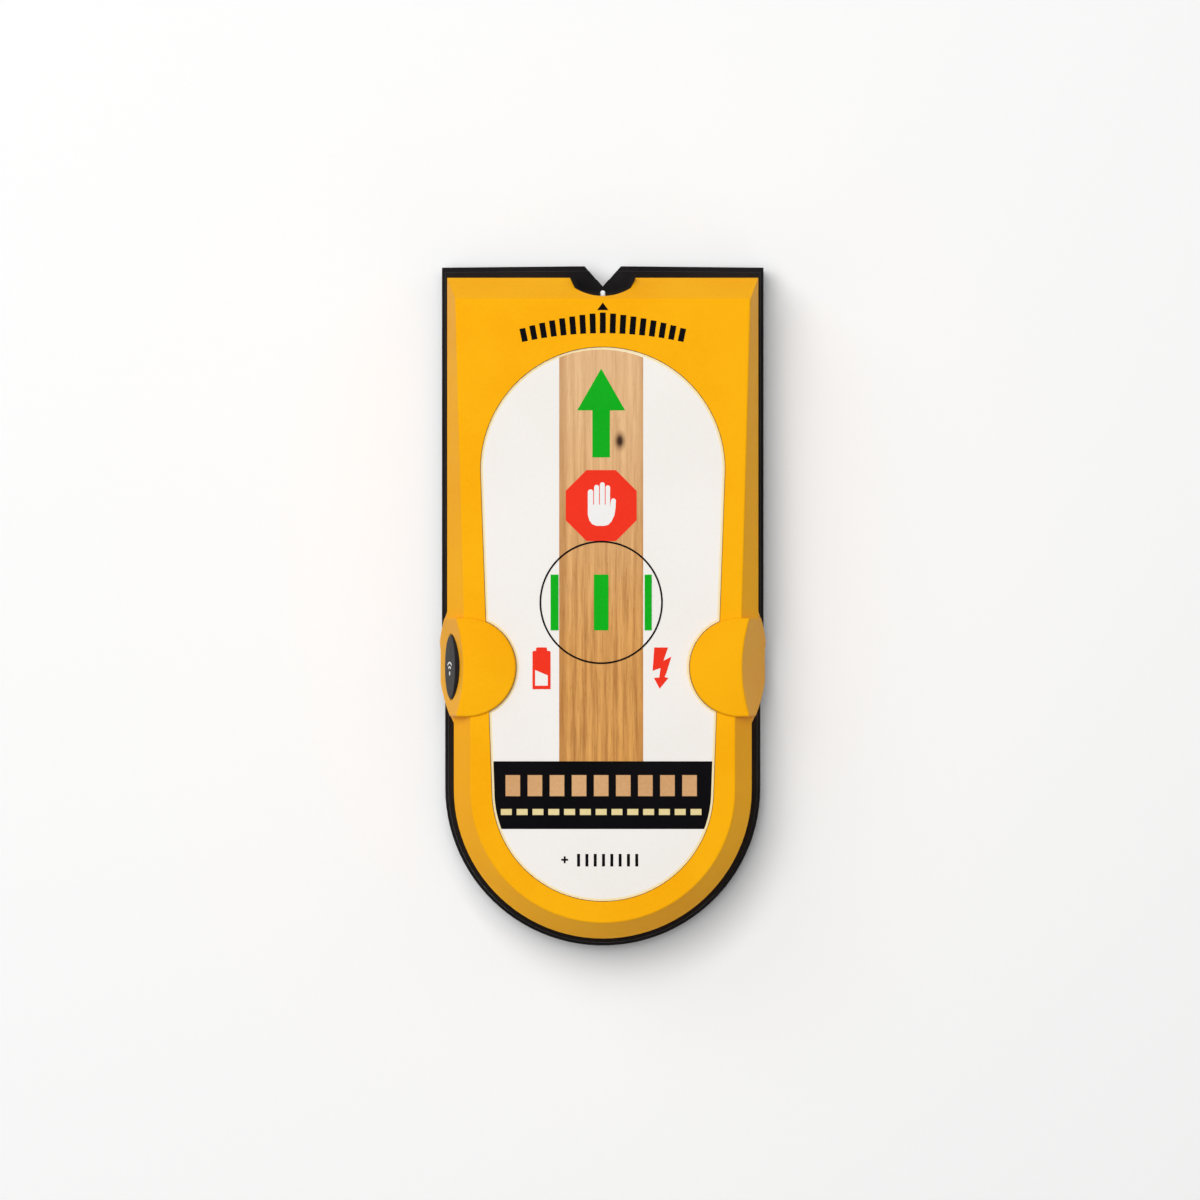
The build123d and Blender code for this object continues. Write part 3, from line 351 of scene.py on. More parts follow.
@dataclass(frozen=True)
class PressedFibre:
    """Felt or foam: tangled fibres or open cells."""

    name: str
    colour: Colour
    tip: Colour
    cell: float = 0.35 * MM
    depth: float = 0.08 * MM

    def build(self) -> bpy.types.Material:
        """Return the material."""
        r = Recipe(self.name, 0.95)
        tangle = r.noise(self.cell * 2, 5.0, 0.75, warp=2.0)
        pores = r.cells(self.cell)
        r.colour(r.mix(self.colour, self.tip, tangle.step(0.40, 0.66) * 0.8))
        r.bump(tangle * 0.6 + pores * 0.6, self.depth)
        r.shader.inputs["Sheen Weight"].default_value = 0.25
        return r.material


@dataclass(frozen=True)
class PlatedMetal:
    """Plated or bare metal with turning marks and faint tarnish."""

    name: str
    colour: Colour
    tarnish: Colour
    roughness: float = 0.28
    brushed: tuple[float, float, float] = (1.0, 1.0, 1.0)

    def build(self) -> bpy.types.Material:
        """Return the material."""
        r = Recipe(self.name, self.roughness, metallic=1.0)
        age = r.noise(1.8 * MM, 4.0, 0.6).step(0.42, 0.72)
        lines = r.noise(0.12 * MM, 2.0, where=r.stretched(*self.brushed))
        r.colour(r.mix(self.colour, self.tarnish, age * 0.55))
        r.feed("Roughness", age * 0.22 + lines * 0.12 + (self.roughness - 0.06))
        r.bump(lines, 0.004 * MM)
        return r.material


@dataclass(frozen=True)
class ClearTint:
    """Tinted clear resin of a lamp, a lens or a milky diffuser."""

    name: str
    colour: Colour
    core: Colour
    roughness: float = 0.16
    glow: float = 0.0

    def build(self) -> bpy.types.Material:
        """Return the material, denser in places, with an even faint glow: the lamps' own light, and painted
        light on the lens, which is no lamp.
        """
        r = Recipe(self.name, self.roughness, coat=0.5)
        r.shader.inputs["Subsurface Weight"].default_value = 0.25
        r.shader.inputs["Subsurface Radius"].default_value = (0.001, 0.001, 0.001)
        cloud = r.noise(1.2 * MM, 2.0).step(0.35, 0.65)
        tint = r.mix(self.colour, self.core, cloud)
        r.colour(tint)
        # Emission: real light for the lamps, painted light for the lens.
        r.feed("Emission Color", tint)
        r.shader.inputs["Emission Strength"].default_value = self.glow
        r.bump(r.noise(0.8 * MM, 2.0), 0.003 * MM)
        return r.material


@dataclass(frozen=True)
class SolderMask:
    """Green board lacquer over copper tracks."""

    name: str
    colour: Colour
    track: Colour
    pitch: float = 2.54 * MM

    def build(self) -> bpy.types.Material:
        """Return the material: tracks on a grid, broken up by noise."""
        r = Recipe(self.name, 0.32, coat=0.3)
        x, y = r.axis("X"), r.axis("Y")
        lane = abs((x / self.pitch).math("FRACT") - 0.5).step(0.16, 0.12)
        rung = abs((y / self.pitch).math("FRACT") - 0.5).step(0.16, 0.12)
        patch = r.noise(9 * MM, 0.0).step(0.47, 0.50)
        tracks = lane * patch + rung * (1.0 - patch)
        live = r.noise(14 * MM, 1.0).step(0.40, 0.44)
        tracks = tracks * live
        r.colour(r.mix(self.colour, self.track, tracks))
        r.feed("Roughness", r.noise(2 * MM) * 0.1 + 0.26)
        r.bump(tracks, 0.035 * MM)
        return r.material


@dataclass(frozen=True)
class CellJacket:
    """The wrapped steel jacket of a battery, in two plain colour fields."""

    name: str
    body: Colour
    collar: Colour
    split: float

    def build(self) -> bpy.types.Material:
        """Return the material: a dark body and a copper-coloured collar at the terminal end."""
        r = Recipe(self.name, 0.34, metallic=0.25, coat=0.35)
        end = r.axis("Y").step(self.split - 0.1 * MM, self.split + 0.1 * MM)
        scratch = r.noise(2.4 * MM, 5.0, 0.7, where=r.stretched(1.0, 0.15, 1.0)).step(0.60, 0.72)
        r.colour(r.mix(r.mix(self.body, self.collar, end), (0.45, 0.44, 0.42), scratch * 0.25))
        r.feed("Roughness", scratch * 0.25 + 0.30)
        r.bump(r.noise(3 * MM, 2.0), 0.01 * MM)
        return r.material


class Finish(Enum):
    """Every finish used on the tool."""

    CASE = MouldedPlastic("case_yellow", (0.985, 0.462, 0.006), (0.955, 0.412, 0.004), (0.98, 0.50, 0.02),
                          roughness=0.42, scuffing=0.10, gloss=0.06)
    BASE = MouldedPlastic("base_black", (0.0075, 0.0065, 0.0075), (0.013, 0.011, 0.012),
                          (0.035, 0.033, 0.034), roughness=0.36, scuffing=0.18, gloss=0.35)
    INNER = MouldedPlastic("inner_black", (0.016, 0.016, 0.017), (0.026, 0.026, 0.027), (0.06, 0.06, 0.06),
                           roughness=0.55, scuffing=0.10)
    BUTTON = SoftRubber("button_black", (0.010, 0.008, 0.010), (0.035, 0.032, 0.032))
    FILM = PrintedFilm("label_white", (0.925, 0.89, 0.85), (0.89, 0.855, 0.81))
    # Cream edge band: painted reflection of the yellow walls in the glossy label, not ink.
    RIM = PrintedFilm("label_rim", (0.90, 0.80, 0.50), (0.88, 0.76, 0.42))
    GREEN = PrintedFilm("print_green", (0.003, 0.46, 0.010), (0.003, 0.39, 0.010))
    RED = PrintedFilm("print_red", (0.92, 0.036, 0.014), (0.84, 0.03, 0.012))
    BLACK = PrintedFilm("print_black", (0.0022, 0.0018, 0.0030), (0.0045, 0.0038, 0.0048), roughness=0.34)
    TAN = PrintedFilm("print_tan", (0.72, 0.42, 0.20), (0.62, 0.33, 0.14))
    STRAW = PrintedFilm("print_straw", (0.83, 0.70, 0.36), (0.78, 0.62, 0.28))
    WHITE = PrintedFilm("print_white", (0.90, 0.89, 0.87), (0.86, 0.85, 0.83))
    DIFFUSER = ClearTint("diffuser_white", (0.82, 0.82, 0.80), (0.74, 0.74, 0.73), roughness=0.5)
    # The lens's glow is painted light: the lens is no lamp.
    LENS = ClearTint("lens_white", (0.90, 0.90, 0.88), (0.80, 0.80, 0.80), glow=0.25)
    LAMP_GREEN = ClearTint("led_green", (0.10, 0.60, 0.15), (0.05, 0.42, 0.10), glow=0.08)
    LAMP_RED = ClearTint("led_red", (0.70, 0.08, 0.05), (0.50, 0.04, 0.03), glow=0.08)
    BOARD = SolderMask("board_green", (0.012, 0.15, 0.05), (0.05, 0.30, 0.10))
    COPPER = PlatedMetal("copper", (0.86, 0.47, 0.30), (0.45, 0.20, 0.11))
    CERAMIC = MouldedPlastic("ceramic", (0.66, 0.58, 0.44), (0.58, 0.49, 0.36), (0.8, 0.75, 0.66))
    NICKEL = PlatedMetal("nickel", (0.76, 0.73, 0.68), (0.48, 0.45, 0.40))
    STEEL = PlatedMetal("screw_steel", (0.52, 0.52, 0.54), (0.30, 0.29, 0.28), roughness=0.32)
    SNAP = SoftRubber("snap_black", (0.018, 0.018, 0.019), (0.05, 0.05, 0.05), roughness=0.5)
    LEAD_RED = SoftRubber("wire_red", (0.50, 0.018, 0.012), (0.56, 0.06, 0.05), roughness=0.38)
    LEAD_BLACK = SoftRubber("wire_black", (0.014, 0.014, 0.014), (0.03, 0.03, 0.03), roughness=0.38)
    FOAM = PressedFibre("foam_grey", (0.055, 0.055, 0.06), (0.12, 0.12, 0.13), cell=0.6 * MM)
    FELT = PressedFibre("felt_grey", (0.045, 0.045, 0.05), (0.10, 0.10, 0.11))

    def material(self) -> bpy.types.Material:
        """Return this finish's material, built the first time it is asked for."""
        return bpy.data.materials.get(f"look_{self.value.name}") or self.value.build()


# ---- outlines and plain meshes -------------------------------------------------------------------
def arc(centre: Point, radius: float, start: float, end: float, steps: int = 24) -> list[Point]:
    """Return points along a circular arc.

    Args:
        centre: The arc's centre.
        radius: Its radius.
        start: First angle in degrees, counted from +X.
        end: Last angle in degrees.
        steps: Number of chords.

    Returns:
        The points, both ends included.
    """
    turns = (math.radians(start + (end - start) * i / steps) for i in range(steps + 1))
    return [(centre[0] + radius * math.cos(a), centre[1] + radius * math.sin(a)) for a in turns]


def box_outline(x0: float, x1: float, y0: float, y1: float) -> list[Point]:
    """Return the corners of a rectangle given by its limits."""
    return [(x0, y0), (x1, y0), (x1, y1), (x0, y1)]


def moved(points: Iterable[Point], by: Point) -> list[Point]:
    """Return the points moved by a distance."""
    return [(x + by[0], y + by[1]) for x, y in points]


def settle(name: str, data: bpy.types.Mesh, body: str) -> bpy.types.Object:
    """Make an object of a finished mesh and ride it on a body."""
    piece = bpy.data.objects.new(name, data)
    bpy.context.scene.collection.objects.link(piece)
    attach(piece, body)
    LOG.info("%s: %d faces on %s", name, len(data.polygons), body)
    return piece


def prism(name: str, loops: Sequence[Sequence[Point]], bottom: float, top: float, finish: Finish,
          body: str, lay: Lay | None = None) -> bpy.types.Object:
    """Make a closed plate of an outline, with holes where it has more loops.

    Args:
        name: The piece's name.
        loops: The outer outline, then any holes.
        bottom: Height of its lower face.
        top: Height of its upper face.
        finish: What it is finished in.
        body: The body it moves with.
        lay: Puts a point (x, y, height) in the row frame; left out, the point is used as it is.

    Returns:
        The plate.
    """
    place = lay or (lambda x, y, z: Vector((x, y, z)))
    flat = [[Vector((x, y, 0.0)) for x, y in loop] for loop in loops]
    points = [p for loop in flat for p in loop]
    mesh = bmesh.new()
    low = [mesh.verts.new(place(p.x, p.y, bottom)) for p in points]
    high = [mesh.verts.new(place(p.x, p.y, top)) for p in points]
    for tri in tessellate_polygon(flat):
        mesh.faces.new([high[i] for i in tri])
        mesh.faces.new([low[i] for i in reversed(tri)])
    first = 0
    for loop in flat:
        count = len(loop)
        for i in range(count):
            a, b = first + i, first + (i + 1) % count
            mesh.faces.new((low[a], low[b], high[b], high[a]))
        first += count
    bmesh.ops.recalc_face_normals(mesh, faces=mesh.faces)
    data = bpy.data.meshes.new(name)
    mesh.to_mesh(data)
    mesh.free()
    data.materials.append(finish.material())
    return settle(name, data, body)


# ---- geometry trees ------------------------------------------------------------------------------
class Tree:
    """A Geometry Nodes tree in the making, with named inputs for its sizes."""

    def __init__(self, name: str) -> None:
        """Start an empty tree."""
        self.tree = bpy.data.node_groups.new(name, "GeometryNodeTree")
        self.tree.interface.new_socket("Geometry", in_out="INPUT", socket_type="NodeSocketGeometry")
        self.tree.interface.new_socket("Geometry", in_out="OUTPUT", socket_type="NodeSocketGeometry")
        self.entry = self.tree.nodes.new("NodeGroupInput")
        self.exit = self.tree.nodes.new("NodeGroupOutput")

    def size(self, name: str, value: float) -> Wire:
        """Add a named input, with its default in metres, radians or as a share."""
        item = self.tree.interface.new_socket(name, in_out="INPUT", socket_type="NodeSocketFloat")
        item.default_value = value
        return Wire(self.tree, self.entry.outputs[name])

    def node(self, kind: str, inputs: dict[str, object] | None = None,
             **settings: object) -> bpy.types.Node:
        """Add a node.

        Args:
            kind: The node's type.
            inputs: Values or sockets by input name.
            **settings: Its own properties.

        Returns:
            The node.
        """
        node = self.tree.nodes.new(kind)
        for key, value in settings.items():
            setattr(node, key, value)
        for key, value in (inputs or {}).items():
            plug(self.tree, value, next(s for s in node.inputs if s.name == key and s.enabled))
        return node

    def vector(self, x: Wire | float, y: Wire | float, z: Wire | float) -> NodeSocket:
        """Return a vector made of three values."""
        return self.node("ShaderNodeCombineXYZ", {"X": x, "Y": y, "Z": z}).outputs[0]

    def block(self, x: Wire | float, y: Wire | float, z: Wire | float) -> NodeSocket:
        """Return a box of three sizes, centred on the origin."""
        return self.node("GeometryNodeMeshCube", {"Size": self.vector(x, y, z)}).outputs["Mesh"]

    def cone(self, foot: Wire | float, top: Wire | float, depth: Wire | float, sides: int) -> NodeSocket:
        """Return a closed cone or cylinder that stands on the origin.

        Args:
            foot: Radius at its foot.
            top: Radius at its top.
            depth: Its height.
            sides: Number of flats round it.

        Returns:
            The mesh.
        """
        sizes = {"Vertices": sides, "Radius Bottom": foot, "Radius Top": top, "Depth": depth}
        return self.node("GeometryNodeMeshCone", sizes).outputs["Mesh"]

    def shifted(self, mesh: NodeSocket, move: NodeSocket) -> NodeSocket:
        """Return the mesh moved."""
        return self.node("GeometryNodeTransform", {"Geometry": mesh, "Translation": move}).outputs["Geometry"]

    def together(self, *meshes: NodeSocket) -> NodeSocket:
        """Return several meshes as one."""
        join = self.tree.nodes.new("GeometryNodeJoinGeometry")
        for mesh in meshes:
            self.tree.links.new(mesh, join.inputs["Geometry"])
        return join.outputs["Geometry"]

    def on_points(self, mesh: NodeSocket, points: NodeSocket | None = None,
                  **inputs: object) -> NodeSocket:
        """Put a copy of a mesh on every point.

        Args:
            mesh: What is copied.
            points: Where it goes; left out, on the vertices of the object itself.
            **inputs: Rotation or Scale fields.

        Returns:
            The copies.
        """
        fields = {"Points": points or self.entry.outputs["Geometry"], "Instance": mesh, **inputs}
        return self.node("GeometryNodeInstanceOnPoints", fields).outputs[0]

    def close(self, mesh: NodeSocket, finish: Finish) -> "Tree":
        """End the tree with its result as real geometry in a finish, and return the tree."""
        real = self.node("GeometryNodeRealizeInstances", {"Geometry": mesh}).outputs["Geometry"]
        inked = self.node("GeometryNodeSetMaterial", {"Geometry": real, "Material": finish.material()})
        self.tree.links.new(inked.outputs["Geometry"], self.exit.inputs["Geometry"])
        return self

    def grow(self, name: str, body: str, sizes: dict[str, float] | None = None,
             places: Sequence[tuple[float, float, float]] = ((0.0, 0.0, 0.0),),
             lay: Lay | None = None) -> bpy.types.Object:
        """Run the tree once and keep its result as a plain mesh.

        Args:
            name: The piece's name.
            body: The body it moves with.
            sizes: Values for the named inputs.
            places: Vertices of the object that the tree reads.
            lay: Puts a finished point (x, y, height) in the row frame.

        Returns:
            The new piece.
        """
        seed = bpy.data.meshes.new(f"{name}_places")
        seed.from_pydata([tuple(p) for p in places], [], [])
        holder = bpy.data.objects.new(f"{name}_holder", seed)
        bpy.context.scene.collection.objects.link(holder)
        modifier = holder.modifiers.new("tree", "NODES")
        modifier.node_group = self.tree
        items = self.tree.interface.items_tree
        keys = {item.name: item.identifier for item in items if item.in_out == "INPUT"}
        for key, value in (sizes or {}).items():
            modifier[keys[key]] = value
        graph = bpy.context.evaluated_depsgraph_get()
        data = bpy.data.meshes.new_from_object(holder.evaluated_get(graph))
        slots = [face.material_index for face in data.polygons]
        if data.materials and data.materials[0] is None:
            data.materials.pop(index=0)
            for face, slot in zip(data.polygons, slots):
                face.material_index = max(slot - 1, 0)
        bpy.data.objects.remove(holder)
        if lay is not None:
            for vertex in data.vertices:
                vertex.co = lay(*vertex.co)
        data.name = name
        return settle(name, data, body)


def tick_fan(finish: Finish) -> Tree:
    """Return a tree of ticks that stand on an arc and grow towards its middle."""
    t = Tree("tick_fan")
    count, radius, sweep = t.size("Count", 15), t.size("Radius", 0.06), t.size("Sweep", 0.5)
    width, height = t.size("Width", 0.001), t.size("Height", 0.003)
    rise, deep = t.size("Rise", 1.0), t.size("Depth", 0.0001)
    row = t.node("GeometryNodeMeshLine", {"Count": count.math("ROUND")})
    index = Wire(t.tree, t.node("GeometryNodeInputIndex").outputs[0])
    share = index / (count - 1.0)
    turn = (share - 0.5) * sweep
    spot = t.vector(turn.math("SINE") * radius, turn.math("COSINE") * radius - radius, 0.0)
    fan = t.node("GeometryNodeSetPosition", {"Geometry": row.outputs["Mesh"], "Position": spot})
    tick = t.shifted(t.block(width, height, deep), t.vector(0.0, height * 0.5, deep * 0.5))
    tall = (1.0 - abs(share * 2.0 - 1.0)) * rise + 1.0
    copies = t.on_points(tick, fan.outputs["Geometry"], Rotation=t.vector(0.0, 0.0, -turn),
                         Scale=t.vector(1.0, tall, 1.0))
    return t.close(copies, finish)


def block_row(finish: Finish) -> Tree:
    """Return a tree of equal blocks in a row along X."""
    t = Tree("block_row")
    count, pitch = t.size("Count", 8), t.size("Pitch", 0.006)
    width, height, deep = t.size("Width", 0.004), t.size("Height", 0.005), t.size("Depth", 0.0001)
    start = t.vector((count - 1.0) * pitch * -0.5, 0.0, 0.0)
    row = t.node("GeometryNodeMeshLine", {"Count": count.math("ROUND"), "Start Location": start,
                                          "Offset": t.vector(pitch, 0.0, 0.0)})
    copies = t.on_points(t.shifted(t.block(width, height, deep), t.vector(0.0, 0.0, deep * 0.5)),
                         row.outputs["Mesh"])
    return t.close(copies, finish)


def screw_tree() -> Tree:
    """Return a tree of pan-head screws with a cross recess and a threaded shank, head towards -Z."""
    t = Tree("screws")
    head, thick = t.size("Head Radius", 0.0026), t.size("Head Height", 0.0018)
    shank, length, way = t.size("Shank Radius", 0.0014), t.size("Length", 0.019), t.size("Way", 1.0)
    crown = t.cone(head * 0.80, head, thick * 0.45, 40)
    drum = t.shifted(t.cone(head, head, thick * 0.56, 40), t.vector(0.0, 0.0, thick * 0.44))
    pan = t.together(crown, drum)
    slot = head * 0.26
    bars = [t.block(head * 1.05, slot, thick * 1.1), t.block(slot, head * 1.05, thick * 1.1)]
    cut = t.node("GeometryNodeMeshBoolean", operation="DIFFERENCE")
    t.tree.links.new(pan, cut.inputs["Mesh 1"])
    for bar in bars:
        t.tree.links.new(bar, cut.inputs["Mesh 2"])
    shaft = t.cone(shank * 0.78, shank * 0.70, length * 0.97, 20)
    core = t.shifted(shaft, t.vector(0.0, 0.0, thick * 0.98))
    pitch = shank * 0.55
    turns = t.node("GeometryNodeMeshLine", {"Count": (length / pitch).math("FLOOR") - 1.0,
                                            "Offset": t.vector(0.0, 0.0, pitch),
                                            "Start Location": t.vector(0.0, 0.0, thick + pitch * 0.3)})
    rib = t.cone(shank * 0.97, shank * 0.74, pitch * 0.55, 20)
    thread = t.on_points(rib, turns.outputs["Mesh"])
    whole = t.together(cut.outputs["Mesh"], core, thread)
    turned = t.node("GeometryNodeTransform", {"Geometry": whole,
                                              "Rotation": t.vector((1.0 - way) * (math.pi / 2), 0.0, 0.0)})
    return t.close(t.on_points(turned.outputs["Geometry"]), Finish.STEEL)


def lamp_tree(finish: Finish) -> Tree:
    """Return a tree of surface lamps: a tray, a rim and a clear dome, all in the one finish given."""
    t = Tree(f"lamps_{finish.name.lower()}")
    side, tall = t.size("Side", 0.003), t.size("Height", 0.0016)
    tray = t.shifted(t.block(side, side, tall * 0.55), t.vector(0.0, 0.0, tall * 0.275))
    rim = t.shifted(t.cone(side * 0.44, side * 0.42, tall * 0.2, 28), t.vector(0.0, 0.0, tall * 0.5))
    dome = t.node("GeometryNodeMeshUVSphere", {"Segments": 28, "Rings": 14, "Radius": side * 0.38})
    flat = t.node("GeometryNodeTransform", {"Geometry": dome.outputs["Mesh"], "Scale": (1.0, 1.0, 0.5),
                                            "Translation": t.vector(0.0, 0.0, tall * 0.62)})
    return t.close(t.on_points(t.together(tray, rim, flat.outputs["Geometry"])), finish)


# ---- printed label -------------------------------------------------------------------------------
@dataclass(frozen=True)
class LabelSizes:
    """Sizes of the label and its artwork, in millimetres."""

    top: float = 30.5
    layer: float = 0.03
    arch: float = 30.1
    arch_y: float = 33.75
    tail: float = 27.3
    tail_y: float = -45.5
    bite: float = 12.35
    bite_x: float = 33.6
    bite_y: float = -15.1
    # Width of the cream edge band, a painted reflection of the yellow walls; the film, the wood strip and the
    # black band start inside it.
    rim: float = 0.55
    art_x: float = -0.4
    strip: float = 10.36
    band_top: float = -38.3
    band_foot: float = -55.0
    knot: Point = (4.6, 40.75)
    stop_flat: float = 17.5
    stop_y: float = 24.8
    ring_out: float = 15.22
    ring_in: float = 14.78
    ring_y: float = 0.9
    bar_tall: float = 13.75
    cell_at: Point = (-14.72, -15.34)
    bolt_at: Point = (15.0, -15.3)
    plus_at: Point = (-9.0, -62.6)


@dataclass
class LabelWindow:
    """The label under its clear laminate: a cream edge band that is painted reflection of the yellow walls,
    the wood strip, scale bars, symbols and wall band.
    """

    size: LabelSizes = field(default_factory=LabelSizes)

    def half_width(self, y: float, inset: float) -> float:
        """Return half the label's width at a height on it, inside an inset."""
        s = self.size
        if y > s.arch_y:
            return math.sqrt(max((s.arch - inset) ** 2 - (y - s.arch_y) ** 2, 0.0))
        if y < s.tail_y:
            return math.sqrt(max((s.tail - inset) ** 2 - (y - s.tail_y) ** 2, 0.0))
        return s.tail + (s.arch - s.tail) * (y - s.tail_y) / (s.arch_y - s.tail_y) - inset

    def outline(self, inset: float) -> list[Point]:
        """Return the label's outline, grip bites included, moved inwards by an inset."""
        s = self.size
        reach = s.bite + inset
        ends = []
        for way in (-1, 1):
            along = reach
            for _ in range(20):
                gap = s.bite_x - self.half_width(s.bite_y + way * along, inset)
                along = math.sqrt(reach ** 2 - gap ** 2)
            ends.append(180 - way * math.degrees(math.asin(along / reach)))
        right = [(s.tail - inset, s.tail_y), *arc((s.bite_x, s.bite_y), reach, *ends, 40),
                 *arc((0.0, s.arch_y), s.arch - inset, 0, 88, 44)]
        left = [(-x, y) for x, y in reversed(right)]
        tail = arc((0.0, s.tail_y), s.tail - inset, 184, 356, 60)
        return right + [(0.0, s.arch_y + s.arch - inset)] + left + tail

    def across(self, y0: float, y1: float, inset: float, half: float = 99.0) -> list[Point]:
        """Return the outline of a strip across the label between two heights.

        Args:
            y0: Its lower limit.
            y1: Its upper limit.
            inset: Distance from the label's edge.
            half: Half its width where that is narrower than the label.

        Returns:
            The outline.
        """
        steps = [y0 + (y1 - y0) * math.sin(math.pi / 2 * i / 40) for i in range(41)]
        right = [(min(self.half_width(y, inset), half), y) for y in steps]
        return right + [(-x, y) for x, y in reversed(right) if x > 1e-6]

    def layer(self, name: str, loops: Sequence[Sequence[Point]], level: int,
              finish: Finish) -> bpy.types.Object:
        """Print one layer of ink.

        Args:
            name: The layer's name.
            loops: Its outline and holes in millimetres.
            level: How many layers lie under it.
            finish: Its ink.

        Returns:
            The layer.
        """
        z0 = (self.size.top + level * self.size.layer) * MM
        scaled = [[(x * MM, y * MM) for x, y in loop] for loop in loops]
        piece = prism(name, scaled, z0, z0 + self.size.layer * MM, finish, "housing")
        return piece

    def build(self) -> None:
        """Print the whole label."""
        s = self.size
        # Painted reflection: a cream band round the label's edge where the yellow walls would reflect in it.
        self.layer("label_rim", [self.outline(0.06)], 0, Finish.RIM)
        self.layer("label_film", [self.outline(s.rim)], 1, Finish.FILM)
        strip = self.across(s.band_top, s.arch_y + s.arch - s.rim, s.rim, s.strip)
        wood = self.layer("label_wood", [self.at(strip)], 2, Finish.FILM)
        wood.data.materials[0] = WoodPrint(
            "print_wood", (0.86, 0.55, 0.29), (0.80, 0.38, 0.085), (0.38, 0.14, 0.03), half=s.strip * MM,
            head=60 * MM, foot=-25 * MM, knot=((s.knot[0] + s.art_x) * MM, s.knot[1] * MM)).build()
        self.layer("label_band", [self.across(s.band_foot, s.band_top, s.rim)], 3, Finish.BLACK)
        self.arrow()
        self.stop_sign()
        self.scale_ring()
        self.warning_icons()
        self.wall_band()
        self.battery_marks()

    def at(self, points: Iterable[Point], x: float = 0.0, y: float = 0.0) -> list[Point]:
        """Return artwork points about a place on the label."""
        return moved(points, (self.size.art_x + x, y))

    def arrow(self) -> None:
        """Print the green arrow that points to the notch."""
        points = [(0.0, 58.6), (-5.9, 48.3), (-2.15, 48.3), (-2.15, 36.7), (2.15, 36.7), (2.15, 48.3),
                  (5.9, 48.3)]
        self.layer("label_arrow", [self.at(points)], 4, Finish.GREEN)

    def stop_sign(self) -> None:
        """Print the red octagon with a plain raised hand."""
        corner = self.size.stop_flat / 2 / math.cos(math.pi / 8)
        points = arc((0.0, 0.0), corner, 22.5, 337.5, 7)
        self.layer("label_octagon", [self.at(points, 0, self.size.stop_y)], 4, Finish.RED)
        self.layer("label_hand", [self.at(self.hand(), 0, self.size.stop_y)], 5, Finish.WHITE)

    @staticmethod
    def hand() -> list[Point]:
        """Return the outline of a raised hand: four fingers, a thumb and a round palm."""
        edges = [(-3.3, -1.95, 4.0), (-1.75, -0.52, 5.1), (-0.32, 0.90, 5.75), (1.10, 2.20, 5.0)]
        points: list[Point] = [(-3.3, -2.2)]
        for index, (x0, x1, tip) in enumerate(edges):
            radius = (x1 - x0) / 2
            points += arc(((x0 + x1) / 2, tip - radius), radius, 180, 0, 12)
            if index < 3:
                points += [(x1, 0.35), (x1 + 0.10, 0.15), (edges[index + 1][0], 0.35)]
        points += [(2.20, -0.35), *arc((3.02, 1.15), 0.62, 165, -15, 12), (3.55, -0.6)]
        points += [(3.25, -2.4), (2.55, -3.9), (1.75, -4.75), (0.7, -5.0), (-1.2, -5.0), (-2.2, -4.6),
                   (-2.95, -3.6)]
        return points

    def scale_ring(self) -> None:
        """Print the ring and the three bars on its middle line."""
        s = self.size
        ring = [arc((0.0, 0.0), radius, 0, 360, 96)[:-1] for radius in (s.ring_out, s.ring_in)]
        self.layer("label_ring", [self.at(loop, 0, s.ring_y) for loop in ring], 5, Finish.BLACK)
        for name, x, wide in (("left", -11.5, 1.95), ("middle", 0.0, 3.6), ("right", 11.6, 1.75)):
            bar = box_outline(-wide / 2, wide / 2, -s.bar_tall / 2, s.bar_tall / 2)
            self.layer(f"label_bar_{name}", [self.at(bar, x, s.ring_y)], 6, Finish.GREEN)

    def warning_icons(self) -> None:
        """Print the cell and lightning symbols."""
        side = [(2.23, -5.15), (2.23, 4.0), (1.95, 4.3), (1.35, 4.3), (1.35, 4.95), (1.1, 5.15)]
        shell = side + [(-x, y) for x, y in reversed(side)]
        void = [(-1.6, -4.3), (1.55, -4.3), (1.55, -1.75), (-1.6, -0.4)]
        cell = [self.at(loop, *self.size.cell_at) for loop in (shell, void)]
        self.layer("label_cell_sign", cell, 4, Finish.RED)
        bolt = [(-1.90, 5.09), (-2.31, -0.67), (-0.36, 0.05), (-0.67, -2.31), (-2.0, -2.42), (-0.57, -5.09),
                (1.59, -2.42), (0.61, -2.21), (1.08, -1.18), (2.31, 2.83), (0.36, 1.80), (1.49, 5.09)]
        self.layer("label_bolt_sign", [self.at(bolt, *self.size.bolt_at)], 4, Finish.RED)

    def row(self, name: str, finish: Finish, count: int, level: int, sizes: tuple[float, float, float],
            centre: Point) -> None:
        """Print a row of equal blocks.

        Args:
            name: The row's name.
            finish: Its ink.
            count: Number of blocks.
            level: How many layers lie under it.
            sizes: Pitch, width and height of a block in millimetres.
            centre: The row's middle in millimetres.
        """
        pitch, width, height = (size * MM for size in sizes)
        place = Vector((centre[0], centre[1], self.size.top + level * self.size.layer)) * MM
        piece = block_row(finish).grow(
            name, "housing", {"Count": float(count), "Pitch": pitch, "Width": width, "Height": height,
                              "Depth": self.size.layer * MM}, lay=lambda x, y, z: Vector((x, y, z)) + place)

    def wall_band(self) -> None:
        """Print a cut wall in the black band: stud ends above, plaster battens below."""
        x = self.size.art_x
        self.row("label_wall_studs", Finish.TAN, 9, 4, (5.45, 3.6, 5.2), (x, -44.3))
        self.row("label_wall_battens", Finish.STRAW, 13, 4, (3.9, 2.7, 1.5), (x, -50.8))

    def battery_marks(self) -> None:
        """Print the polarity mark and the gauge over the battery bay."""
        w, arm = 0.24, 0.85
        plus = [(-w, -arm), (w, -arm), (w, -w), (arm, -w), (arm, w), (w, w), (w, arm), (-w, arm), (-w, w),
                (-arm, w), (-arm, -w), (-w, -w)]
        self.layer("label_plus", [self.at(plus, *self.size.plus_at)], 2, Finish.BLACK)
        self.row("label_gauge", Finish.BLACK, 8, 2, (2.05, 0.75, 3.1), (1.2, -62.7))


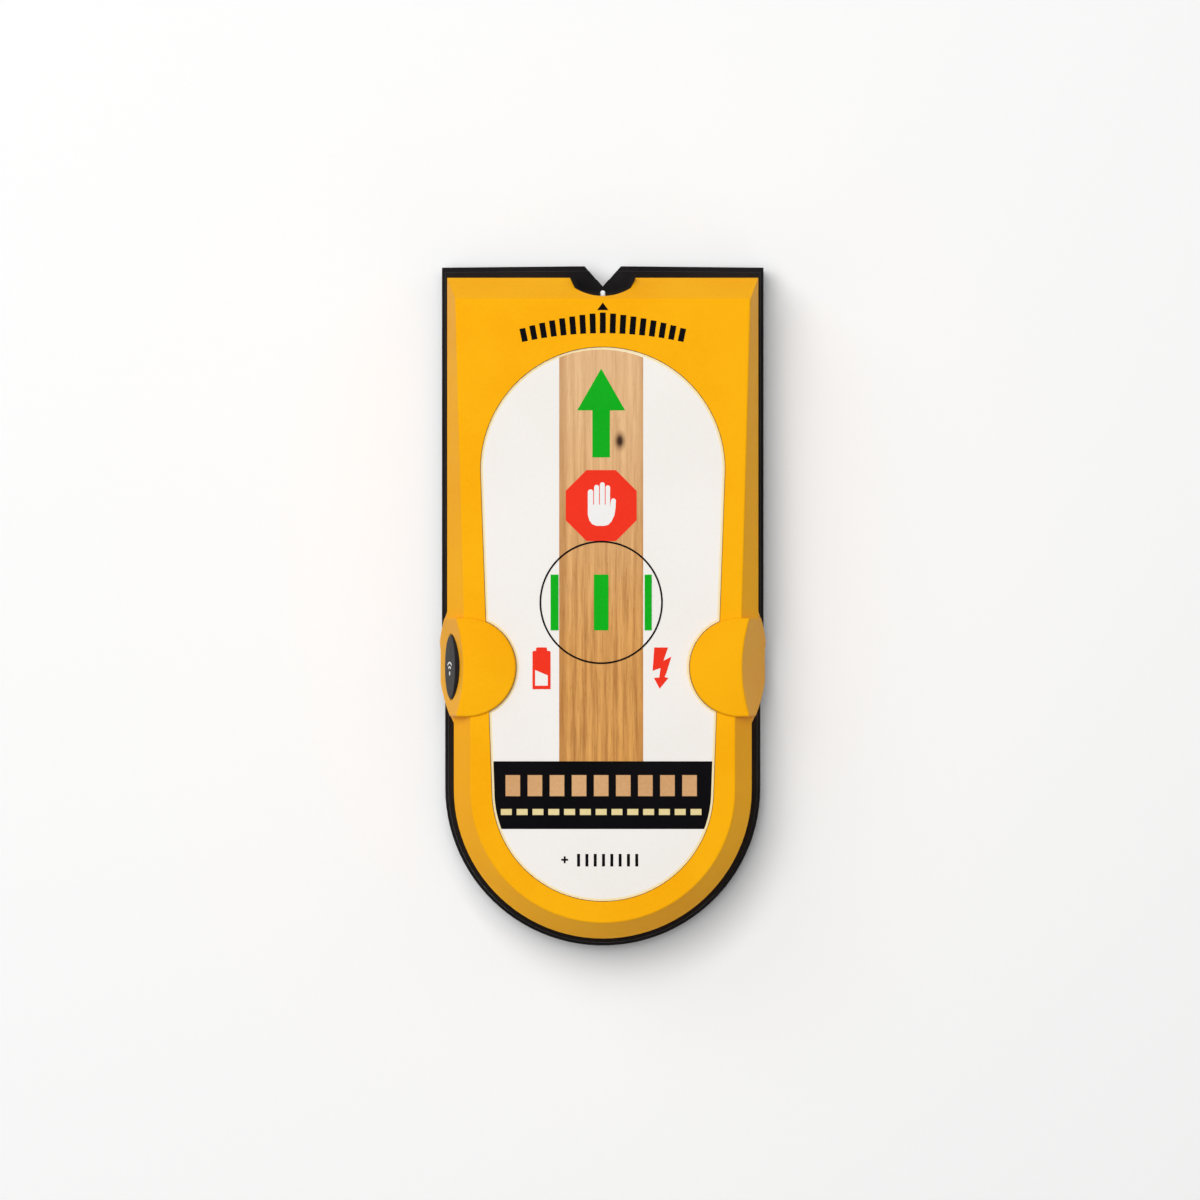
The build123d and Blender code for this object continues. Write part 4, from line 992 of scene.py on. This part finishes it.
# ---- marks on the head ---------------------------------------------------------------------------
@dataclass
class HeadScale:
    """The arched tick scale on the head, with its centre pointer towards the notch."""

    face: float = 31.0 * MM
    layer: float = 0.03 * MM
    radius: float = 92 * MM
    sweep: float = 0.42
    ticks: int = 17
    tick: Point = (1.45 * MM, 3.3 * MM)
    rise: float = 0.55
    crown_y: float = 67.3 * MM
    pointer: tuple[Point, ...] = ((-1.4 * MM, 73.0 * MM), (1.4 * MM, 73.0 * MM), (0.0, 74.9 * MM))

    def build(self) -> None:
        """Print the ticks and the pointer."""
        width, height = self.tick
        fan = tick_fan(Finish.BLACK).grow(
            "head_scale", "housing", {"Count": float(self.ticks), "Radius": self.radius, "Sweep": self.sweep,
                                      "Width": width, "Height": height, "Rise": self.rise,
                                      "Depth": self.layer},
            lay=lambda x, y, z: Vector((x, y + self.crown_y, z + self.face)))
        pointer = prism("head_pointer", [self.pointer], self.face, self.face + self.layer, Finish.BLACK,
                        "housing")


# ---- pieces carried over, with their finishes ----------------------------------------------------
def dress(node: str, material: bpy.types.Material) -> None:
    """Give a CAD node its finish in every one of its slots."""
    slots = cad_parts[node].data.materials
    if not slots:
        slots.append(material)
    for index in range(len(slots)):
        slots[index] = material
    LOG.info("%s: dressed", node)


def dress_all(finishes: dict[str, Finish]) -> None:
    """Give each CAD node the finish that stands beside its name."""
    for node, finish in finishes.items():
        dress(node, finish.material())


def copies(node: str, tall: float) -> list[tuple[Vector, Vector]]:
    """Return the box of each separate copy in a CAD node.

    Args:
        node: The node's name.
        tall: Copies less than this far apart in height count as one.

    Returns:
        The lowest and highest corner of each copy.
    """
    gap = 2.5 * MM
    reach = (gap, gap, tall)
    found: list[tuple[Vector, Vector]] = []
    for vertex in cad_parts[node].data.vertices:
        for low, high in found:
            if all(low[i] - reach[i] <= vertex.co[i] <= high[i] + reach[i] for i in range(3)):
                for i in range(3):
                    low[i], high[i] = min(low[i], vertex.co[i]), max(high[i], vertex.co[i])
                break
        else:
            found.append((vertex.co.copy(), vertex.co.copy()))
    return found


@dataclass(frozen=True)
class CaseShell:
    """The two housing halves and what is fitted into them from outside."""

    def build(self) -> None:
        """Dress the shell pieces."""
        dress_all({"front_case": Finish.CASE, "rear_base": Finish.BASE, "notch_guide": Finish.BASE,
                   "pointer_lens": Finish.LENS, "face_window": Finish.FILM, "battery_door": Finish.BASE,
                   "glide_pads": Finish.FELT})


@dataclass
class PushButton:
    """The scan button in the left grip, with a plain sweep mark on its dish."""

    lean: float = math.radians(17.1)
    centre: tuple[float, float, float] = (-37.94 * MM, -15.1 * MM, 24.2 * MM)
    ink: float = 0.04 * MM
    hub: Point = (-1.6, 0.0)
    dot: float = 0.55
    stroke: float = 0.22
    spread: float = 42.0

    def spot(self, along: float, up: float, out: float) -> Vector:
        """Return a point on the leaning face, given along the case, up the slope and out of the face."""
        x, y, z = self.centre
        return Vector((x + math.sin(self.lean) * up - math.cos(self.lean) * out, y + along,
                       z + math.cos(self.lean) * up + math.sin(self.lean) * out))

    def mark(self, name: str, loop: Sequence[Point]) -> None:
        """Print one shape on the button, given in millimetres along and up."""
        scaled = [(x * MM, y * MM) for x, y in loop]
        piece = prism(name, [scaled], 0.0, self.ink, Finish.WHITE, "scan_button", lay=self.spot)

    def build(self) -> None:
        """Dress the button and its switch, and print a dot with two waves."""
        self.mark("button_dot", arc(self.hub, self.dot, 0, 360, 20)[:-1])
        for name, radius in (("button_wave_near", 1.6), ("button_wave_far", 2.7)):
            outer, inner = (arc(self.hub, radius + side * self.stroke, -self.spread, self.spread, 16)
                            for side in (1, -1))
            self.mark(name, outer + list(reversed(inner)))
        dress_all({"scan_button": Finish.BUTTON, "scan_switch": Finish.INNER,
                   "switch_plunger": Finish.STRAW})


@dataclass(frozen=True)
class BatteryBay:
    """The battery, its clip, its leads and the foam on the door."""

    split: float = -36.0 * MM

    def build(self) -> None:
        """Dress the bay's pieces."""
        jacket = CellJacket("battery_skin", (0.02, 0.02, 0.022), (0.55, 0.25, 0.09), self.split)
        dress("battery_9v", jacket.build())
        dress_all({"battery_terminals": Finish.NICKEL, "battery_foam": Finish.FOAM,
                   "snap_connector": Finish.SNAP, "snap_contacts": Finish.NICKEL,
                   "wire_red": Finish.LEAD_RED, "wire_black": Finish.LEAD_BLACK})


@dataclass
class Electronics:
    """Both boards and what is soldered to them."""

    lamp_side: float = 3.0 * MM

    def build(self) -> None:
        """Dress the boards and replace the lamps with detailed ones."""
        dress_all({"circuit_board": Finish.BOARD, "sensor_board": Finish.BOARD,
                   "sensor_plates": Finish.COPPER, "board_link": Finish.INNER,
                   "controller_chip": Finish.INNER, "passive_components": Finish.CERAMIC,
                   "buzzer": Finish.INNER, "light_baffle": Finish.INNER,
                   "diffuser_sheet": Finish.DIFFUSER, "pointer_led": Finish.LAMP_RED})
        for node, finish in (("target_leds", Finish.LAMP_GREEN), ("warning_leds", Finish.LAMP_RED)):
            spots = [((low.x + high.x) / 2, (low.y + high.y) / 2, low.z) for low, high in copies(node, MM)]
            piece = lamp_tree(finish).grow(f"{node}_detail", "housing", {"Side": self.lamp_side}, spots)
            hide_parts(node)


@dataclass(frozen=True)
class ScrewSizes:
    """Sizes of one kind of screw, in metres."""

    head: float
    thick: float
    shank: float


@dataclass
class Fasteners:
    """The case and board screws, with cross recesses and threads."""

    case: ScrewSizes = ScrewSizes(2.6 * MM, 1.8 * MM, 1.4 * MM)
    board: ScrewSizes = ScrewSizes(1.8 * MM, 1.4 * MM, 0.9 * MM)

    def drive(self, node: str, sizes: ScrewSizes, tall: float) -> None:
        """Put detailed screws where the frame has plain ones.

        Args:
            node: The frame's screws.
            sizes: Their sizes.
            tall: Longest gap in height inside one screw.
        """
        boxes = copies(node, tall)
        spots = [Vector(((low.x + high.x) / 2, (low.y + high.y) / 2, low.z)) for low, high in boxes]
        heights = [high.z - low.z for low, high in boxes]
        upright = [self.heads_down(node, spot, height, sizes) for spot, height in zip(spots, heights)]
        for label, way in (("up", True), ("down", False)):
            chosen = [i for i, up in enumerate(upright) if up is way]
            if not chosen:
                continue
            places = [spots[i] + Vector((0, 0, 0 if way else heights[i])) for i in chosen]
            length = (heights[chosen[0]] - sizes.thick) * 0.98
            piece = screw_tree().grow(f"{node}_{label}", "housing", {
                "Head Radius": sizes.head, "Head Height": sizes.thick, "Shank Radius": sizes.shank,
                "Length": length, "Way": 1.0 if way else -1.0}, places)
            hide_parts(node)

    @staticmethod
    def heads_down(node: str, spot: Vector, height: float, sizes: ScrewSizes) -> bool:
        """Return whether a screw's head is at its lower end."""
        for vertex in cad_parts[node].data.vertices:
            side = math.hypot(vertex.co.x - spot.x, vertex.co.y - spot.y)
            rise = vertex.co.z - spot.z
            if sizes.shank * 1.2 < side < sizes.head * 1.1 and 0 <= rise <= height:
                return rise < height / 2
        return True

    def build(self) -> None:
        """Drive every screw in."""
        self.drive("case_screws", self.case, 25 * MM)
        self.drive("board_screws", self.board, 8 * MM)


# ---- studio --------------------------------------------------------------------------------------
@dataclass
class Studio:
    """Camera, floor and soft lights."""

    lens: float = 180.0
    sensor: float = 36.0
    reach: float = 20.0
    field_wide: float = 296 * MM
    aim: Point = (-0.69 * MM, 1.5 * MM)
    face: float = 31.0 * MM
    floor_side: float = 6.0
    floor_z: float = -0.2 * MM
    floor_colour: Colour = (0.99, 0.99, 0.99)
    background: float = 0.08
    lamps: tuple[tuple[str, tuple[float, float, float], float, float, bool], ...] = (
        ("overhead", (-0.25, 0.30, 1.60), 1.1, 24.0, False),
        ("key", (-1.05, 0.95, 1.10), 0.9, 3.6, True),
        ("side", (1.15, 0.75, 1.10), 0.9, 1.2, True),
        ("front", (0.75, -1.15, 1.10), 0.9, 1.2, False),
        ("back", (-1.15, -0.75, 1.10), 0.9, 1.2, False))

    def camera(self) -> None:
        """Stand the camera straight over the face."""
        data = bpy.data.cameras.new("camera")
        data.lens = self.lens
        data.sensor_width = self.sensor
        data.clip_end = self.reach
        camera = bpy.data.objects.new("camera", data)
        camera.location = (*self.aim, self.face + self.field_wide * self.lens / self.sensor)
        bpy.context.scene.collection.objects.link(camera)
        bpy.context.scene.camera = camera

    def floor(self) -> None:
        """Lay the pale floor."""
        bpy.ops.mesh.primitive_plane_add(size=self.floor_side, location=(0.0, 0.0, self.floor_z))
        floor = bpy.context.object
        floor.name = "floor"
        r = Recipe("floor_white", 0.9)
        r.colour(self.floor_colour)
        floor.data.materials.append(r.material)

    def lamp(self, name: str, place: tuple[float, float, float], size: float, power: float,
             gloss: bool) -> None:
        """Hang one soft light aimed at the object.

        Args:
            name: The light's name.
            place: Where it hangs.
            size: Length of its side.
            power: Its power in watts.
            gloss: Whether it shows in gloss.
        """
        data = bpy.data.lights.new(name, "AREA")
        data.shape = "SQUARE"
        data.size = size
        data.energy = power
        light = bpy.data.objects.new(name, data)
        light.location = place
        light.visible_glossy = gloss
        light.rotation_euler = (Vector((0, 0, 0)) - Vector(place)).to_track_quat("-Z", "Y").to_euler()
        bpy.context.scene.collection.objects.link(light)

    def world(self) -> None:
        """Light the room evenly."""
        world = bpy.data.worlds.new("room")
        bpy.context.scene.world = world
        world.use_nodes = True
        sky = world.node_tree.nodes["Background"]
        sky.inputs["Color"].default_value = (1.0, 1.0, 1.0, 1.0)
        sky.inputs["Strength"].default_value = self.background

    def build(self) -> None:
        """Set up the whole studio."""
        self.camera()
        self.floor()
        self.world()
        for lamp in self.lamps:
            self.lamp(*lamp)
        bpy.context.scene.view_settings.view_transform = "Standard"


def main() -> None:
    """Finish the pieces, print the label, fit the small parts and set up the studio."""
    logging.basicConfig(level=logging.INFO, format="%(name)s: %(message)s")
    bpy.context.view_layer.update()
    for part in (CaseShell, LabelWindow, HeadScale, PushButton, BatteryBay, Electronics, Fasteners, Studio):
        part().build()


if __name__ == "__main__":
    main()
